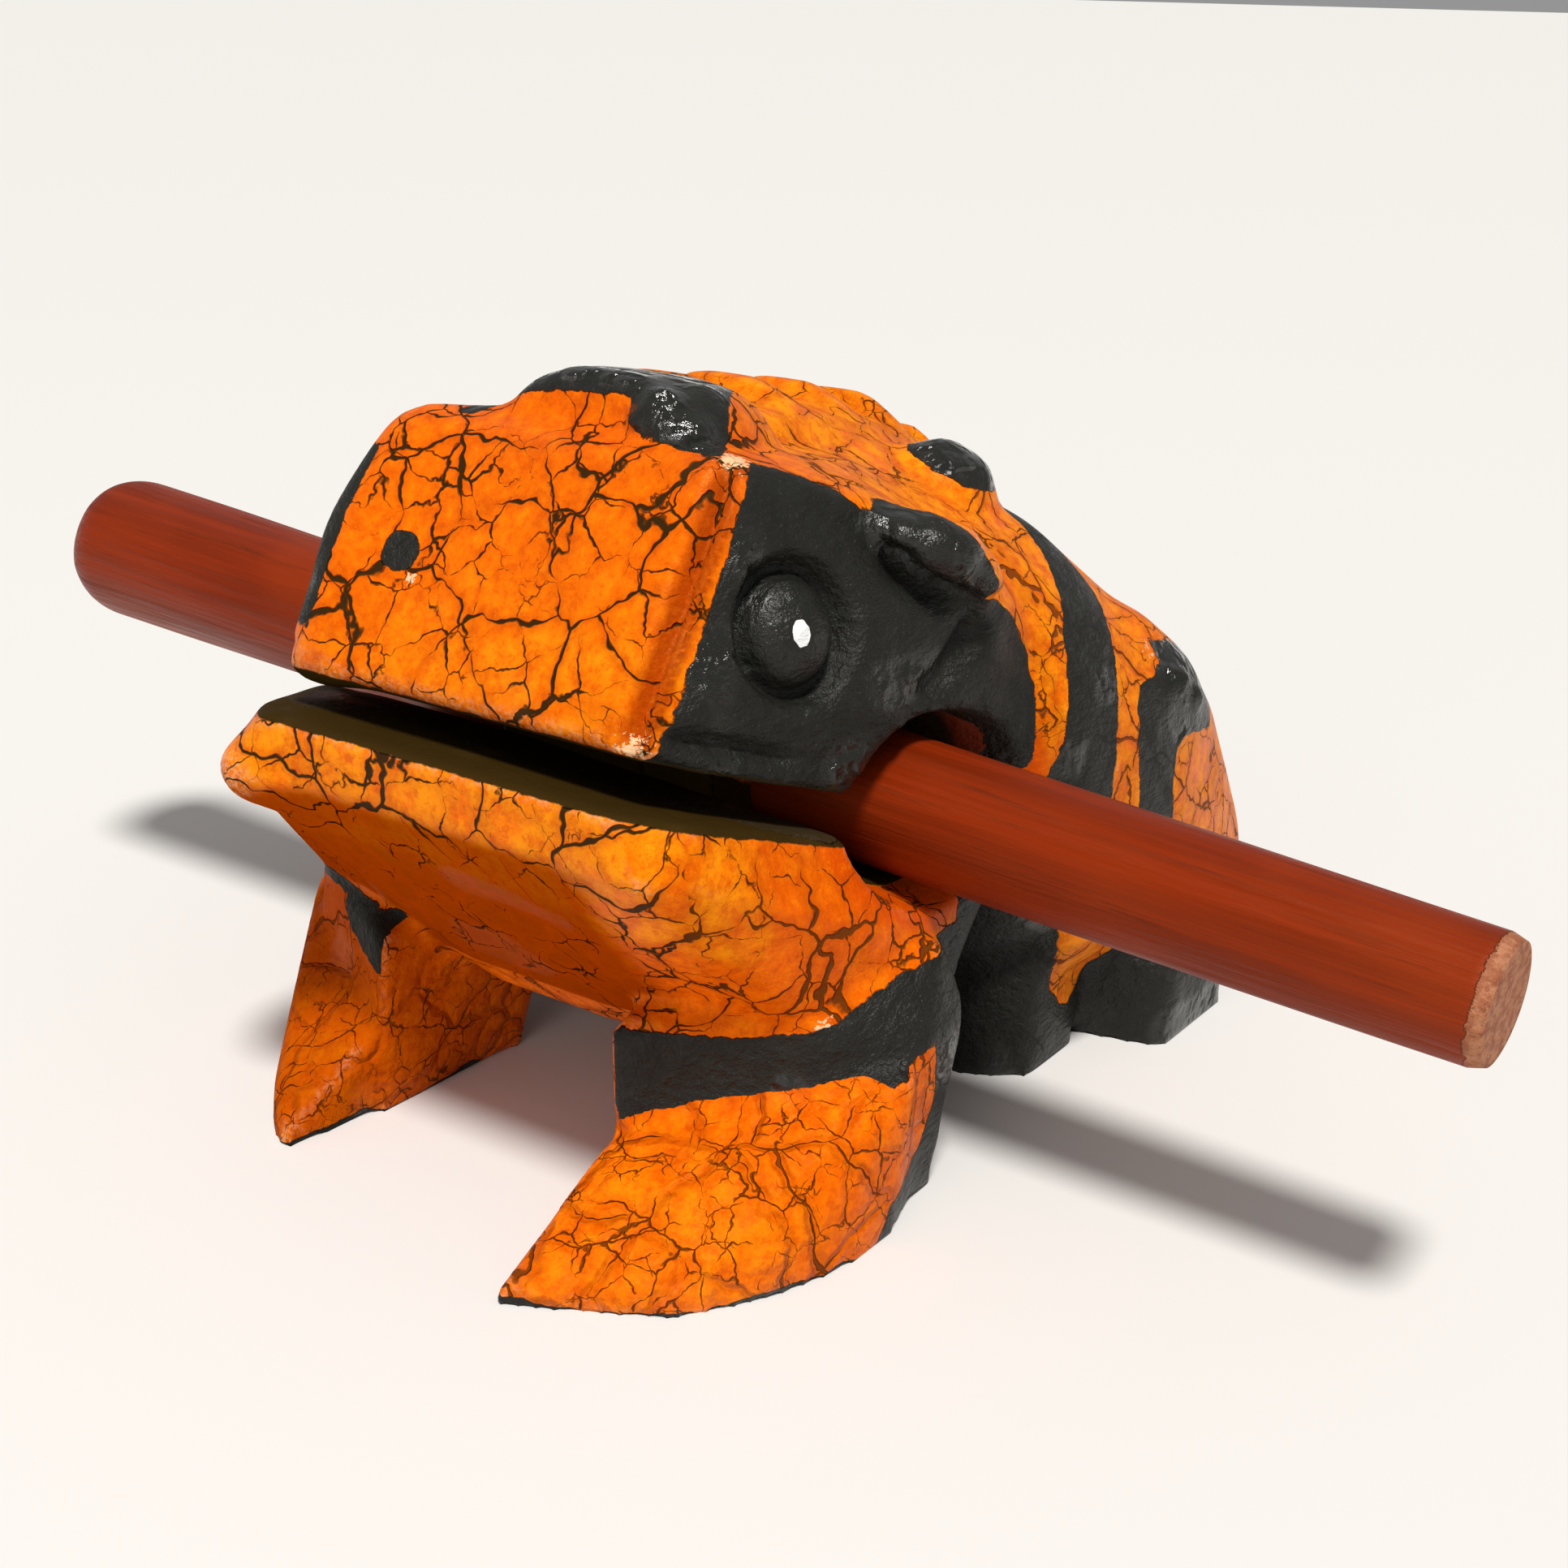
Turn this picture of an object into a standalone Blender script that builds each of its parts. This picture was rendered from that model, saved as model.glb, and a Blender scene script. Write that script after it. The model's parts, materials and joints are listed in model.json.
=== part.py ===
"""Frog guiro: a hollow carved wooden frog with a ridged back, and the striker stick kept in the hole through it.

Metres, +Z up. The frog faces -Y and its left side is +X. The numbers below are measured from the frog's
own middle line, and everything is moved at the end, so that the origin is on the ground under the middle
of the frog and stick together.
"""

import math

import bmesh
import bpy
from mathutils import Matrix, Vector

MM = 0.001

# Head: a wedge that is narrow at the snout, with a front face that leans back.
SNOUT_HALF_WIDTH = 17.5 * MM
SNOUT_FRONT = -44.7 * MM
SNOUT_LIP_HEIGHT = 39.5 * MM
BROW_HEIGHT = 59.0 * MM
BROW_FRONT = -32.4 * MM
CHEEK_HALF_WIDTH = 28.0 * MM

# Mouth: a saw cut that falls towards the back and opens into the sound hole.
MOUTH_GAP = 3.8 * MM
MOUTH_FALL = 0.34
MOUTH_CORNER_Y = -27.6 * MM
JAW_OVERHANG = 3.0 * MM
LIP_THICKNESS = 9.8 * MM

# Sound hole: an oval bore from cheek to cheek, which also stores the stick.
HOLE_CENTRE_Y = -18.3 * MM
HOLE_CENTRE_Z = 31.95 * MM
HOLE_HALF_LENGTH = 9.6 * MM
HOLE_HALF_HEIGHT = 6.8 * MM
HOLE_TILT = math.radians(2.45)
HOLE_FLARE = 1.1 * MM
HOLE_FLARE_DEPTH = 5.0 * MM

# Spine teeth, the bars that the stick is drawn over.
TOOTH_COUNT = 8
TOOTH_PITCH = 8.6 * MM
TOOTH_HALF_WIDTH = 9.4 * MM
TOOTH_LENGTH = 7.0 * MM
TOOTH_RISE = 1.6 * MM
NECK_RISE = 0.12
FIRST_TOOTH_Y = -27.0 * MM
FIRST_TOOTH_RISE = 1.94 * MM
FIRST_TOOTH_SHIFT = 1.3 * MM

# Front legs, with an arch between them.
LEG_FRONT = -34.0 * MM
LEG_BACK = -20.5 * MM
ARCH_HALF_WIDTH = 12.0 * MM
ARCH_HEIGHT = 11.0 * MM
LEG_HALF_WIDTH = 32.5 * MM
TOE_THICKNESS = 1.2 * MM
SOLE_WASTE = 2.0 * MM
# Outer edges (x, y) of the feet on the ground, from the toe tip back. The right foot is the shorter one.
FOOT_EDGES = {
    "left": [(14.2, -57.2), (18.6, -54.6), (26.0, -50.5), (30.2, -43.8), (32.0, -38.0), (32.2, -32.0)],
    "right": [(14.8, -50.8), (18.0, -49.0), (21.5, -45.5), (24.5, -40.5), (28.5, -33.5), (31.0, -28.5)],
}

# Eyes.
EYE_Y = -31.2 * MM
EYE_Z = 47.4 * MM
EYE_RING_HALF_WIDTH = 3.5 * MM
EYE_RING_HALF_HEIGHT = 4.3 * MM
EYE_RING_THICKNESS = 1.0 * MM
EYEBALL_RISE = 0.7 * MM

# Stick.
STICK_LEFT_END = (72.8 * MM, -18.4 * MM, 27.1 * MM)
STICK_RIGHT_END = (-76.0 * MM, -16.8 * MM, 35.9 * MM)
STICK_THICK_DIAMETER = 14.1 * MM
STICK_THIN_DIAMETER = 9.6 * MM
STICK_DOME = 6.5 * MM

# Middle of the footprint of frog and stick, where the origin goes.
FOOTPRINT_CENTRE = (-1.45 * MM, -9.2 * MM, 0.0)

SIDES = (("left", 1), ("right", -1))

ORANGE = (0.86, 0.24, 0.02, 1.0)
RED_BROWN = (0.30, 0.045, 0.018, 1.0)


def clear_scene():
    for obj in list(bpy.data.objects):
        bpy.data.objects.remove(obj, do_unlink=True)


def new_collection(name):
    collection = bpy.data.collections.new(name)
    bpy.context.scene.collection.children.link(collection)
    return collection


def new_material(name, colour, roughness, metallic=0.0):
    material = bpy.data.materials.new(name)
    material.use_nodes = True
    shader = material.node_tree.nodes["Principled BSDF"]
    shader.inputs["Base Color"].default_value = colour
    shader.inputs["Roughness"].default_value = roughness
    shader.inputs["Metallic"].default_value = metallic
    return material


def add_object(name, mesh_builder, collection, helper=False):
    """An object whose mesh is what mesh_builder, a bmesh, holds. A helper is left out of a render."""
    mesh = bpy.data.meshes.new(name)
    bmesh.ops.recalc_face_normals(mesh_builder, faces=mesh_builder.faces)
    mesh_builder.to_mesh(mesh)
    mesh_builder.free()
    obj = bpy.data.objects.new(name, mesh)
    collection.objects.link(obj)
    if helper:
        obj.hide_render = True
        obj.display_type = "WIRE"
    return obj


def hull(name, points, collection, bevel=1.2 * MM, segments=2):
    """A block with its corners at the points and its edges rounded, as a knife leaves it."""
    block = bmesh.new()
    for point in points:
        block.verts.new(point)
    shell = bmesh.ops.convex_hull(block, input=block.verts)
    unused = [item for item in shell["geom_interior"] if isinstance(item, bmesh.types.BMVert)]
    bmesh.ops.delete(block, geom=unused, context="VERTS")
    bmesh.ops.dissolve_limit(block, angle_limit=math.radians(4), verts=block.verts, edges=block.edges)
    obj = add_object(name, block, collection, helper=True)
    if bevel:
        rounding = obj.modifiers.new("rounding", "BEVEL")
        rounding.width = bevel
        rounding.segments = segments
        rounding.limit_method = "ANGLE"
        rounding.angle_limit = math.radians(25)
    return obj


def ellipsoid(name, centre, radii, collection, turn=None, segments=20, rings=12):
    ball = bmesh.new()
    bmesh.ops.create_uvsphere(ball, u_segments=segments, v_segments=rings, radius=1.0)
    turn = turn or Matrix.Identity(4)
    place = Matrix.Translation(centre) @ turn @ Matrix.Diagonal((*radii, 1.0))
    bmesh.ops.transform(ball, matrix=place, verts=ball.verts)
    return add_object(name, ball, collection, helper=True)


def mirrored(points):
    return [Vector((side * x, y, z)) for x, y, z in points for side in (-1, 1)]


def on_side(points, side):
    return [Vector((side * x, y, z)) for x, y, z in points]


def mouth_height(y):
    """Height of the upper edge of the mouth cut."""
    return SNOUT_LIP_HEIGHT - MOUTH_FALL * (y - SNOUT_FRONT)


def skull_corners():
    """Corners of the skull's left half, by name."""
    back = HOLE_CENTRE_Y + HOLE_HALF_LENGTH
    return {
        "lip": (SNOUT_HALF_WIDTH, SNOUT_FRONT, SNOUT_LIP_HEIGHT),
        "brow": (SNOUT_HALF_WIDTH - 0.9 * MM, BROW_FRONT, BROW_HEIGHT),
        "mouth corner": (25.2 * MM, MOUTH_CORNER_Y, mouth_height(MOUTH_CORNER_Y)),
        "temple": (21.3 * MM, -34.4 * MM, 45.9 * MM),
        "crown": (21.0 * MM, -21.7 * MM, 55.2 * MM),
        "cheek over the hole": (CHEEK_HALF_WIDTH + 0.8 * MM, back, mouth_height(back)),
        "cheek": (CHEEK_HALF_WIDTH - 1.0 * MM, back, 47.3 * MM),
        "front of the ridge": (9.0 * MM, -29.2 * MM, 59.5 * MM),
        "under the ridge": (12.0 * MM, back, 55.3 * MM),
        "inside the flank": (CHEEK_HALF_WIDTH, back + 8.0 * MM, 38.5 * MM),
    }


def make_skull(blocks):
    hull("skull", mirrored(skull_corners().values()), blocks, bevel=1.5 * MM)


def make_jaw(blocks):
    lip_top = mouth_height(SNOUT_FRONT) - MOUTH_GAP + 0.8 * MM
    lip_bottom = lip_top - LIP_THICKNESS
    front = SNOUT_FRONT - JAW_OVERHANG
    hole_back = HOLE_CENTRE_Y + HOLE_HALF_LENGTH
    points = mirrored(
        [
            (SNOUT_HALF_WIDTH, front, lip_top),
            (SNOUT_HALF_WIDTH + 4.5 * MM, front + 4.0 * MM, lip_top - 1.0 * MM),
            (SNOUT_HALF_WIDTH + 3.0 * MM, front - 0.2 * MM, lip_top - 5.0 * MM),
            (SNOUT_HALF_WIDTH + 6.2 * MM, front + 3.6 * MM, lip_top - 5.5 * MM),
            (SNOUT_HALF_WIDTH - 1.5 * MM, front + 2.5 * MM, lip_bottom),
            (SNOUT_HALF_WIDTH + 4.0 * MM, front + 4.5 * MM, lip_bottom),
            (24.8 * MM, MOUTH_CORNER_Y, mouth_height(MOUTH_CORNER_Y) - MOUTH_GAP),
            (28.5 * MM, -29.0 * MM, 23.2 * MM),
            (CHEEK_HALF_WIDTH + 0.5 * MM, hole_back, 24.2 * MM),
            (26.0 * MM, LEG_FRONT + 0.4 * MM, 16.4 * MM),
            (6.0 * MM, LEG_FRONT + 1.0 * MM, ARCH_HEIGHT),
            (29.5 * MM, LEG_BACK, 13.0 * MM),
            (6.0 * MM, LEG_BACK, ARCH_HEIGHT),
            (10.0 * MM, hole_back, ARCH_HEIGHT),
        ]
    )
    # On the right the lip is fuller and the cut was made shallower, so that its lower side stays higher.
    fuller = [(25.6, -44.3, 29.8), (24.6, -41.5, 34.0), (23.8, -36.0, 35.0), (25.3, -29.0, 32.2)]
    points += on_side([(x * MM, y * MM, z * MM) for x, y, z in fuller], -1)
    hull("jaw", points, blocks)


def make_front_leg(blocks, name, side):
    leg = [
        (ARCH_HALF_WIDTH, LEG_FRONT - 7.3 * MM, ARCH_HEIGHT + 5.0 * MM),
        (ARCH_HALF_WIDTH + 1.0 * MM, LEG_FRONT - 7.5 * MM, -SOLE_WASTE),
        (27.0 * MM, LEG_FRONT + 0.4 * MM, 17.3 * MM),
        (28.0 * MM, LEG_FRONT - 0.1 * MM, -SOLE_WASTE),
        (LEG_HALF_WIDTH - 2.0 * MM, LEG_BACK - 2.0 * MM, 22.0 * MM),
        (LEG_HALF_WIDTH, LEG_BACK - 6.3 * MM, 14.5 * MM),
        (LEG_HALF_WIDTH - 2.0 * MM, LEG_BACK - 6.0 * MM, -SOLE_WASTE),
        (ARCH_HALF_WIDTH - 2.0 * MM, LEG_BACK, ARCH_HEIGHT + 5.0 * MM),
        (ARCH_HALF_WIDTH, LEG_BACK - 2.0 * MM, 4.0 * MM),
        (LEG_HALF_WIDTH - 0.5 * MM, LEG_BACK + 0.5 * MM, 15.2 * MM),
        (LEG_HALF_WIDTH - 3.0 * MM, LEG_BACK, 20.0 * MM),
        (LEG_HALF_WIDTH - 2.0 * MM, LEG_BACK - 2.0 * MM, -SOLE_WASTE),
        (ARCH_HALF_WIDTH + 0.5 * MM, LEG_BACK - 4.0 * MM, -SOLE_WASTE),
    ]
    hull(name + "_front_leg", on_side(leg, side), blocks)
    foot = [
        (ARCH_HALF_WIDTH + 1.0 * MM, LEG_FRONT - 8.8 * MM, 7.3 * MM),
        (27.0 * MM, LEG_FRONT - 0.1 * MM, 8.9 * MM),
        (LEG_HALF_WIDTH + 0.5 * MM, LEG_BACK - 8.0 * MM, 14.2 * MM),
        (ARCH_HALF_WIDTH + 1.0 * MM, LEG_FRONT, -2 * SOLE_WASTE),
        (LEG_HALF_WIDTH - 2.3 * MM, LEG_BACK - 5.0 * MM, -2 * SOLE_WASTE),
    ]
    for i, (x, y) in enumerate(FOOT_EDGES[name]):
        edge = TOE_THICKNESS + 0.6 * MM * i
        foot += [(x * MM, y * MM, -2 * SOLE_WASTE), (x * MM, y * MM, edge)]
    hull(name + "_front_foot", on_side(foot, side), blocks, bevel=0.5 * MM, segments=1)


# Half sections of the torso from front to back. Each holds y, and then points (x, z) from the back to the belly.
TORSO_SECTIONS = [
    (-11.5, [(6, 59.5), (14, 55.5), (22, 52.0), (27, 45.5), (29.5, 35.0), (29.5, 23.5), (26, 13.0), (14, 9.5)]),
    (-1.5, [(6, 57.6), (12, 53.0), (21, 49.6), (28, 44.5), (32, 35.0), (32.0, 21.5), (28, 11.0), (14, 9.0)]),
    (9.0, [(6, 54.8), (11, 50.6), (20, 46.8), (28, 42.0), (33.5, 33.0), (34, 19.0), (30, 9.0), (14, 9.0)]),
    (18.5, [(6, 48.5), (11, 45.4), (19, 42.0), (27, 37.0), (33.5, 29.0), (34, 15.5), (30, 8.0), (14, 9.0)]),
    (29.0, [(5, 36.0), (10, 34.5), (18, 32.5), (25, 28.8), (31, 21.5), (32, 12.0), (28, 8.0), (13, 8.0)]),
    (39.0, [(4, 21.5), (9, 20.5), (14, 19.0), (20, 16.5), (25, 13.0), (26, 9.5), (22, 7.5), (10, 7.0)]),
]


def make_torso(blocks):
    cage = bmesh.new()
    rings = []
    for y, half in TORSO_SECTIONS:
        loop = [(0.0, half[0][1])] + half + [(0.0, half[-1][1])]
        right = [(-x, z) for x, z in reversed(half)]
        rings.append([cage.verts.new((x * MM, y * MM, z * MM)) for x, z in loop + right])
    for front, back in zip(rings, rings[1:]):
        count = len(front)
        for i in range(count):
            j = (i + 1) % count
            cage.faces.new((front[i], front[j], back[j], back[i]))
    for ring in (rings[0], rings[-1]):
        middle = len(ring) // 2
        for i in range(middle):
            corners = [ring[i], ring[i + 1], ring[-i - 1], ring[-i]] if i else [ring[0], ring[1], ring[-1]]
            if i == middle - 1:
                corners = [ring[i], ring[i + 1], ring[-i]]
            cage.faces.new(corners)
    torso = add_object("torso", cage, blocks, helper=True)
    smoothing = torso.modifiers.new("smoothing", "SUBSURF")
    smoothing.levels = 2
    smoothing.render_levels = 2


def back_height(y):
    """Height of the back on the middle line, read between the torso's sections."""
    stations = [(station * MM, half[0][1] * MM) for station, half in TORSO_SECTIONS]
    first_y, first_z = stations[0]
    if y <= first_y:
        return first_z + NECK_RISE * (first_y - y)
    for (y0, z0), (y1, z1) in zip(stations, stations[1:]):
        if y <= y1:
            return z0 + (z1 - z0) * (y - y0) / (y1 - y0)
    return stations[-1][1]


def make_spine(blocks):
    half_length = TOOTH_LENGTH / 2
    for i in range(TOOTH_COUNT):
        y = FIRST_TOOTH_Y + i * TOOTH_PITCH
        top = back_height(y) + (TOOTH_RISE if i else FIRST_TOOTH_RISE)
        half_width = TOOTH_HALF_WIDTH * (1.0 - 0.04 * i)
        slope = (back_height(y + half_length) - back_height(y - half_length)) / TOOTH_LENGTH
        points = []
        for along in (-half_length, half_length):
            level = top + slope * along
            points += [
                (half_width * 0.35, y + along * 0.5, level),
                (half_width * 0.78, y + along * 0.6, level - 2.0 * MM),
                (half_width * 0.97, y + along * 0.8, level - 4.4 * MM),
                (half_width, y + along, level - 8.0 * MM),
            ]
        shift = Vector((0.0 if i else FIRST_TOOTH_SHIFT, 0.0, 0.0))
        hull(f"tooth_{i + 1}", [point + shift for point in mirrored(points)], blocks, bevel=0.8 * MM)


def make_ridge(blocks):
    """The raised strip along the back that the front teeth stand on."""
    points = []
    for y in (-29.0 * MM, -11.0 * MM, 2.3 * MM):
        level = back_height(y) - 0.6 * MM
        points += [(7.5 * MM, y, level), (13.5 * MM, y, level - 6.5 * MM), (13.0 * MM, y, 45.0 * MM)]
    hull("ridge", mirrored(points), blocks)


def make_haunch(blocks, name, side):
    """The folded thigh, with the knee at its top, and the hind foot under it as toes and heel."""
    thigh = [
        (21.0, 3.9, 45.2),
        (28.5, 13.8, 39.8),
        (24.0, 18.0, 39.6),
        (32.5, 22.2, 30.2),
        (22.0, 32.0, 26.0),
        (31.5, 33.8, 15.0),
        (28.0, 38.0, 10.0),
        (14.0, 38.5, 12.0),
        (34.0, 12.0, 24.0),
        (32.5, 3.5, 33.1),
        (30.0, -4.8, 26.9),
        (33.5, 24.5, 10.0),
        (31.5, 34.5, 4.0),
        (30.0, -1.2, 11.2),
        (17.0, 4.7, 6.6),
        (14.0, 34.0, 5.0),
    ]
    toes = [
        (13.0, -5.0, -4.0),
        (13.0, -4.6, 8.0),
        (23.0, -4.6, -4.0),
        (23.5, -4.2, 11.0),
        (27.7, -1.0, -4.0),
        (28.5, -1.0, 12.0),
        (27.5, 8.0, -4.0),
        (28.0, 8.0, 12.0),
        (13.0, 10.0, -4.0),
        (13.0, 10.0, 8.0),
    ]
    heel = [
        (26.0, 9.5, -6.0),
        (27.0, 8.5, 9.5),
        (34.8, 11.8, -6.0),
        (34.8, 11.0, 9.5),
        (34.8, 23.0, -6.0),
        (34.5, 24.5, 8.5),
        (30.0, 31.5, -6.0),
        (30.0, 34.0, 8.5),
        (12.0, 32.0, -6.0),
        (12.0, 34.0, 8.5),
        (12.0, 13.0, -6.0),
        (12.0, 13.0, 8.5),
    ]
    for part, points, bevel in (("haunch", thigh, 3.0), ("hind_toes", toes, 1.2), ("hind_heel", heel, 1.2)):
        points = [(x * MM, y * MM, z * MM) for x, y, z in points]
        hull(f"{name}_{part}", on_side(points, side), blocks, bevel=bevel * MM)


def make_ear(blocks, name, side):
    points = on_side(
        [
            (20.0 * MM, -23.0 * MM, 52.3 * MM),
            (25.0 * MM, -22.1 * MM, 53.4 * MM),
            (21.0 * MM, -17.6 * MM, 54.6 * MM),
            (28.6 * MM, -13.9 * MM, 51.0 * MM),
            (30.6 * MM, -12.4 * MM, 47.0 * MM),
            (25.0 * MM, -12.7 * MM, 43.6 * MM),
            (22.0 * MM, -10.1 * MM, 52.0 * MM),
            (20.0 * MM, -11.7 * MM, 44.4 * MM),
        ],
        side,
    )
    hull(name + "_ear", points, blocks)


def eye_place(side):
    """Centre and turn of an eye: on the side of the head, with its own X pointing out."""
    corners = skull_corners()
    temple, crown, mouth = (Vector(corners[key]) for key in ("temple", "crown", "mouth corner"))
    out = (mouth - temple).cross(crown - temple).normalized()
    reach = temple.x - (out.y * (EYE_Y - temple.y) + out.z * (EYE_Z - temple.z)) / out.x
    centre = Vector((side * reach, EYE_Y, EYE_Z))
    out.x *= side
    across = Vector((0.0, 0.0, 1.0)).cross(out).normalized()
    turn = Matrix((out, across, out.cross(across))).transposed().to_4x4()
    return centre, turn


def make_eye(blocks, cutters, name, side):
    centre, turn = eye_place(side)
    ring = bmesh.new()
    steps = 24
    tube_steps = 8
    loops = []
    for i in range(steps):
        a = 2 * math.pi * i / steps
        loop = []
        for k in range(tube_steps):
            b = 2 * math.pi * k / tube_steps
            out = EYE_RING_THICKNESS * math.cos(b)
            depth = EYE_RING_THICKNESS * math.sin(b)
            loop.append(
                ring.verts.new(
                    (depth, (EYE_RING_HALF_WIDTH + out) * math.cos(a), (EYE_RING_HALF_HEIGHT + out) * math.sin(a))
                )
            )
        loops.append(loop)
    for i in range(steps):
        for k in range(tube_steps):
            j = (i + 1) % steps
            m = (k + 1) % tube_steps
            ring.faces.new((loops[i][k], loops[j][k], loops[j][m], loops[i][m]))
    bmesh.ops.transform(ring, matrix=Matrix.Translation(centre) @ turn, verts=ring.verts)
    add_object(name + "_eye_ring", ring, cutters, helper=True)
    ball = (EYEBALL_RISE, EYE_RING_HALF_WIDTH - 0.4 * MM, EYE_RING_HALF_HEIGHT - 0.4 * MM)
    ellipsoid(name + "_eyeball", centre, ball, blocks, turn, segments=16, rings=8)


def make_hole(cutters):
    """An oval bore, drilled a little out of level, whose rims are flared with the knife."""
    reach = 1.5 * CHEEK_HALF_WIDTH
    lie_along_x = Matrix.Rotation(math.radians(90), 4, "Y")
    place = Matrix.Translation((0.0, HOLE_CENTRE_Y, HOLE_CENTRE_Z)) @ Matrix.Rotation(HOLE_TILT, 4, "Y")
    oval = Matrix.Diagonal((1.0, HOLE_HALF_LENGTH, HOLE_HALF_HEIGHT, 1.0))
    bore = bmesh.new()
    bmesh.ops.create_cone(bore, cap_ends=True, segments=32, radius1=1.0, radius2=1.0, depth=2 * reach)
    bmesh.ops.transform(bore, matrix=place @ oval @ lie_along_x, verts=bore.verts)
    add_object("sound_hole", bore, cutters, helper=True)
    flare_start = CHEEK_HALF_WIDTH - HOLE_FLARE_DEPTH
    flare_length = reach - flare_start
    wide = 1.0 + HOLE_FLARE / HOLE_HALF_HEIGHT * flare_length / HOLE_FLARE_DEPTH
    for name, side in SIDES:
        rim = bmesh.new()
        bmesh.ops.create_cone(rim, cap_ends=True, segments=32, radius1=0.98, radius2=wide, depth=flare_length)
        out = Matrix.Translation((side * (reach + flare_start) / 2, 0.0, 0.0))
        turn = Matrix.Rotation(math.radians(90) * side, 4, "Y")
        bmesh.ops.transform(rim, matrix=place @ out @ oval @ turn, verts=rim.verts)
        add_object(name + "_hole_rim", rim, cutters, helper=True)


def make_ground(cutters):
    """Takes off what the legs and feet reach below the ground, so that the soles are flat."""
    ground = bmesh.new()
    bmesh.ops.create_cube(ground, size=1.0)
    depth = 6 * SOLE_WASTE
    bmesh.ops.scale(ground, vec=(200.0 * MM, 200.0 * MM, depth), verts=ground.verts)
    bmesh.ops.translate(ground, vec=(0.0, 0.0, -depth / 2), verts=ground.verts)
    add_object("ground", ground, cutters, helper=True)


def make_body(parts, blocks, cutters):
    make_skull(blocks)
    make_jaw(blocks)
    make_torso(blocks)
    make_ridge(blocks)
    make_spine(blocks)
    for name, side in SIDES:
        make_front_leg(blocks, name, side)
        make_haunch(blocks, name, side)
        make_ear(blocks, name, side)
        make_eye(blocks, cutters, name, side)
    make_hole(cutters)
    make_ground(cutters)
    core = bmesh.new()
    bmesh.ops.create_cube(core, size=10.0 * MM)
    bmesh.ops.translate(core, vec=(0.0, 8.0 * MM, 30.0 * MM), verts=core.verts)
    body = add_object("frog_body", core, parts)
    union = body.modifiers.new("carved blocks", "BOOLEAN")
    union.operation = "UNION"
    union.operand_type = "COLLECTION"
    union.collection = blocks
    union.solver = "EXACT"
    union.use_self = True
    carve = body.modifiers.new("carving", "BOOLEAN")
    carve.operation = "DIFFERENCE"
    carve.operand_type = "COLLECTION"
    carve.collection = cutters
    carve.solver = "EXACT"
    body.data.materials.append(new_material("orange crackle paint", ORANGE, 0.45))
    return body


def make_stick(parts):
    """The striker: thick with a rounded end on the frog's right, and cut flat on its left."""
    thick = STICK_THICK_DIAMETER / 2
    thin = STICK_THIN_DIAMETER / 2
    left_end = Vector(STICK_LEFT_END)
    right_end = Vector(STICK_RIGHT_END)
    half_length = (left_end - right_end).length / 2
    profile = [(0.0, -half_length)]
    steps = 6
    for i in range(1, steps + 1):
        a = math.pi / 2 * i / steps
        profile.append((thick * math.sin(a), -half_length + STICK_DOME * (1 - math.cos(a))))
    profile.append((thin + 0.1 * MM, half_length - 0.6 * MM))
    profile.append((thin - 0.4 * MM, half_length))
    profile.append((0.0, half_length))
    line = bmesh.new()
    points = [line.verts.new((x, 0.0, z)) for x, z in reversed(profile)]
    for a, b in zip(points, points[1:]):
        line.edges.new((a, b))
    stick = add_object("striker_stick", line, parts)
    turned = stick.modifiers.new("turned", "SCREW")
    turned.steps = 24
    turned.render_steps = 24
    turned.use_merge_vertices = True
    turned.merge_threshold = 0.01 * MM
    turned.use_normal_calculate = True
    stick.location = (left_end + right_end) / 2
    stick.rotation_mode = "QUATERNION"
    stick.rotation_quaternion = (left_end - right_end).to_track_quat("Z", "Y")
    stick.data.materials.append(new_material("stained wood", RED_BROWN, 0.55))
    return stick


def main():
    clear_scene()
    parts = new_collection("frog_guiro")
    blocks = new_collection("carved_blocks")
    cutters = new_collection("carving_cuts")
    make_body(parts, blocks, cutters)
    make_stick(parts)
    for obj in bpy.data.objects:
        obj.location -= Vector(FOOTPRINT_CENTRE)


main()
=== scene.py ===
"""Frog guiro: a hollow carved frog in crackled orange and black paint, and the stained stick kept in its hole.

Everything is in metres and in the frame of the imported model. The knife and brush work below is given in
millimetres, in the same frame: the frog faces -Y, its left side is +X and it stands on Z = 0.
"""

import json
import math

import bmesh
import bpy
import numpy as np
from bpy.props import FloatProperty, FloatVectorProperty, IntProperty, PointerProperty
from mathutils import Matrix, Vector

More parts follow.
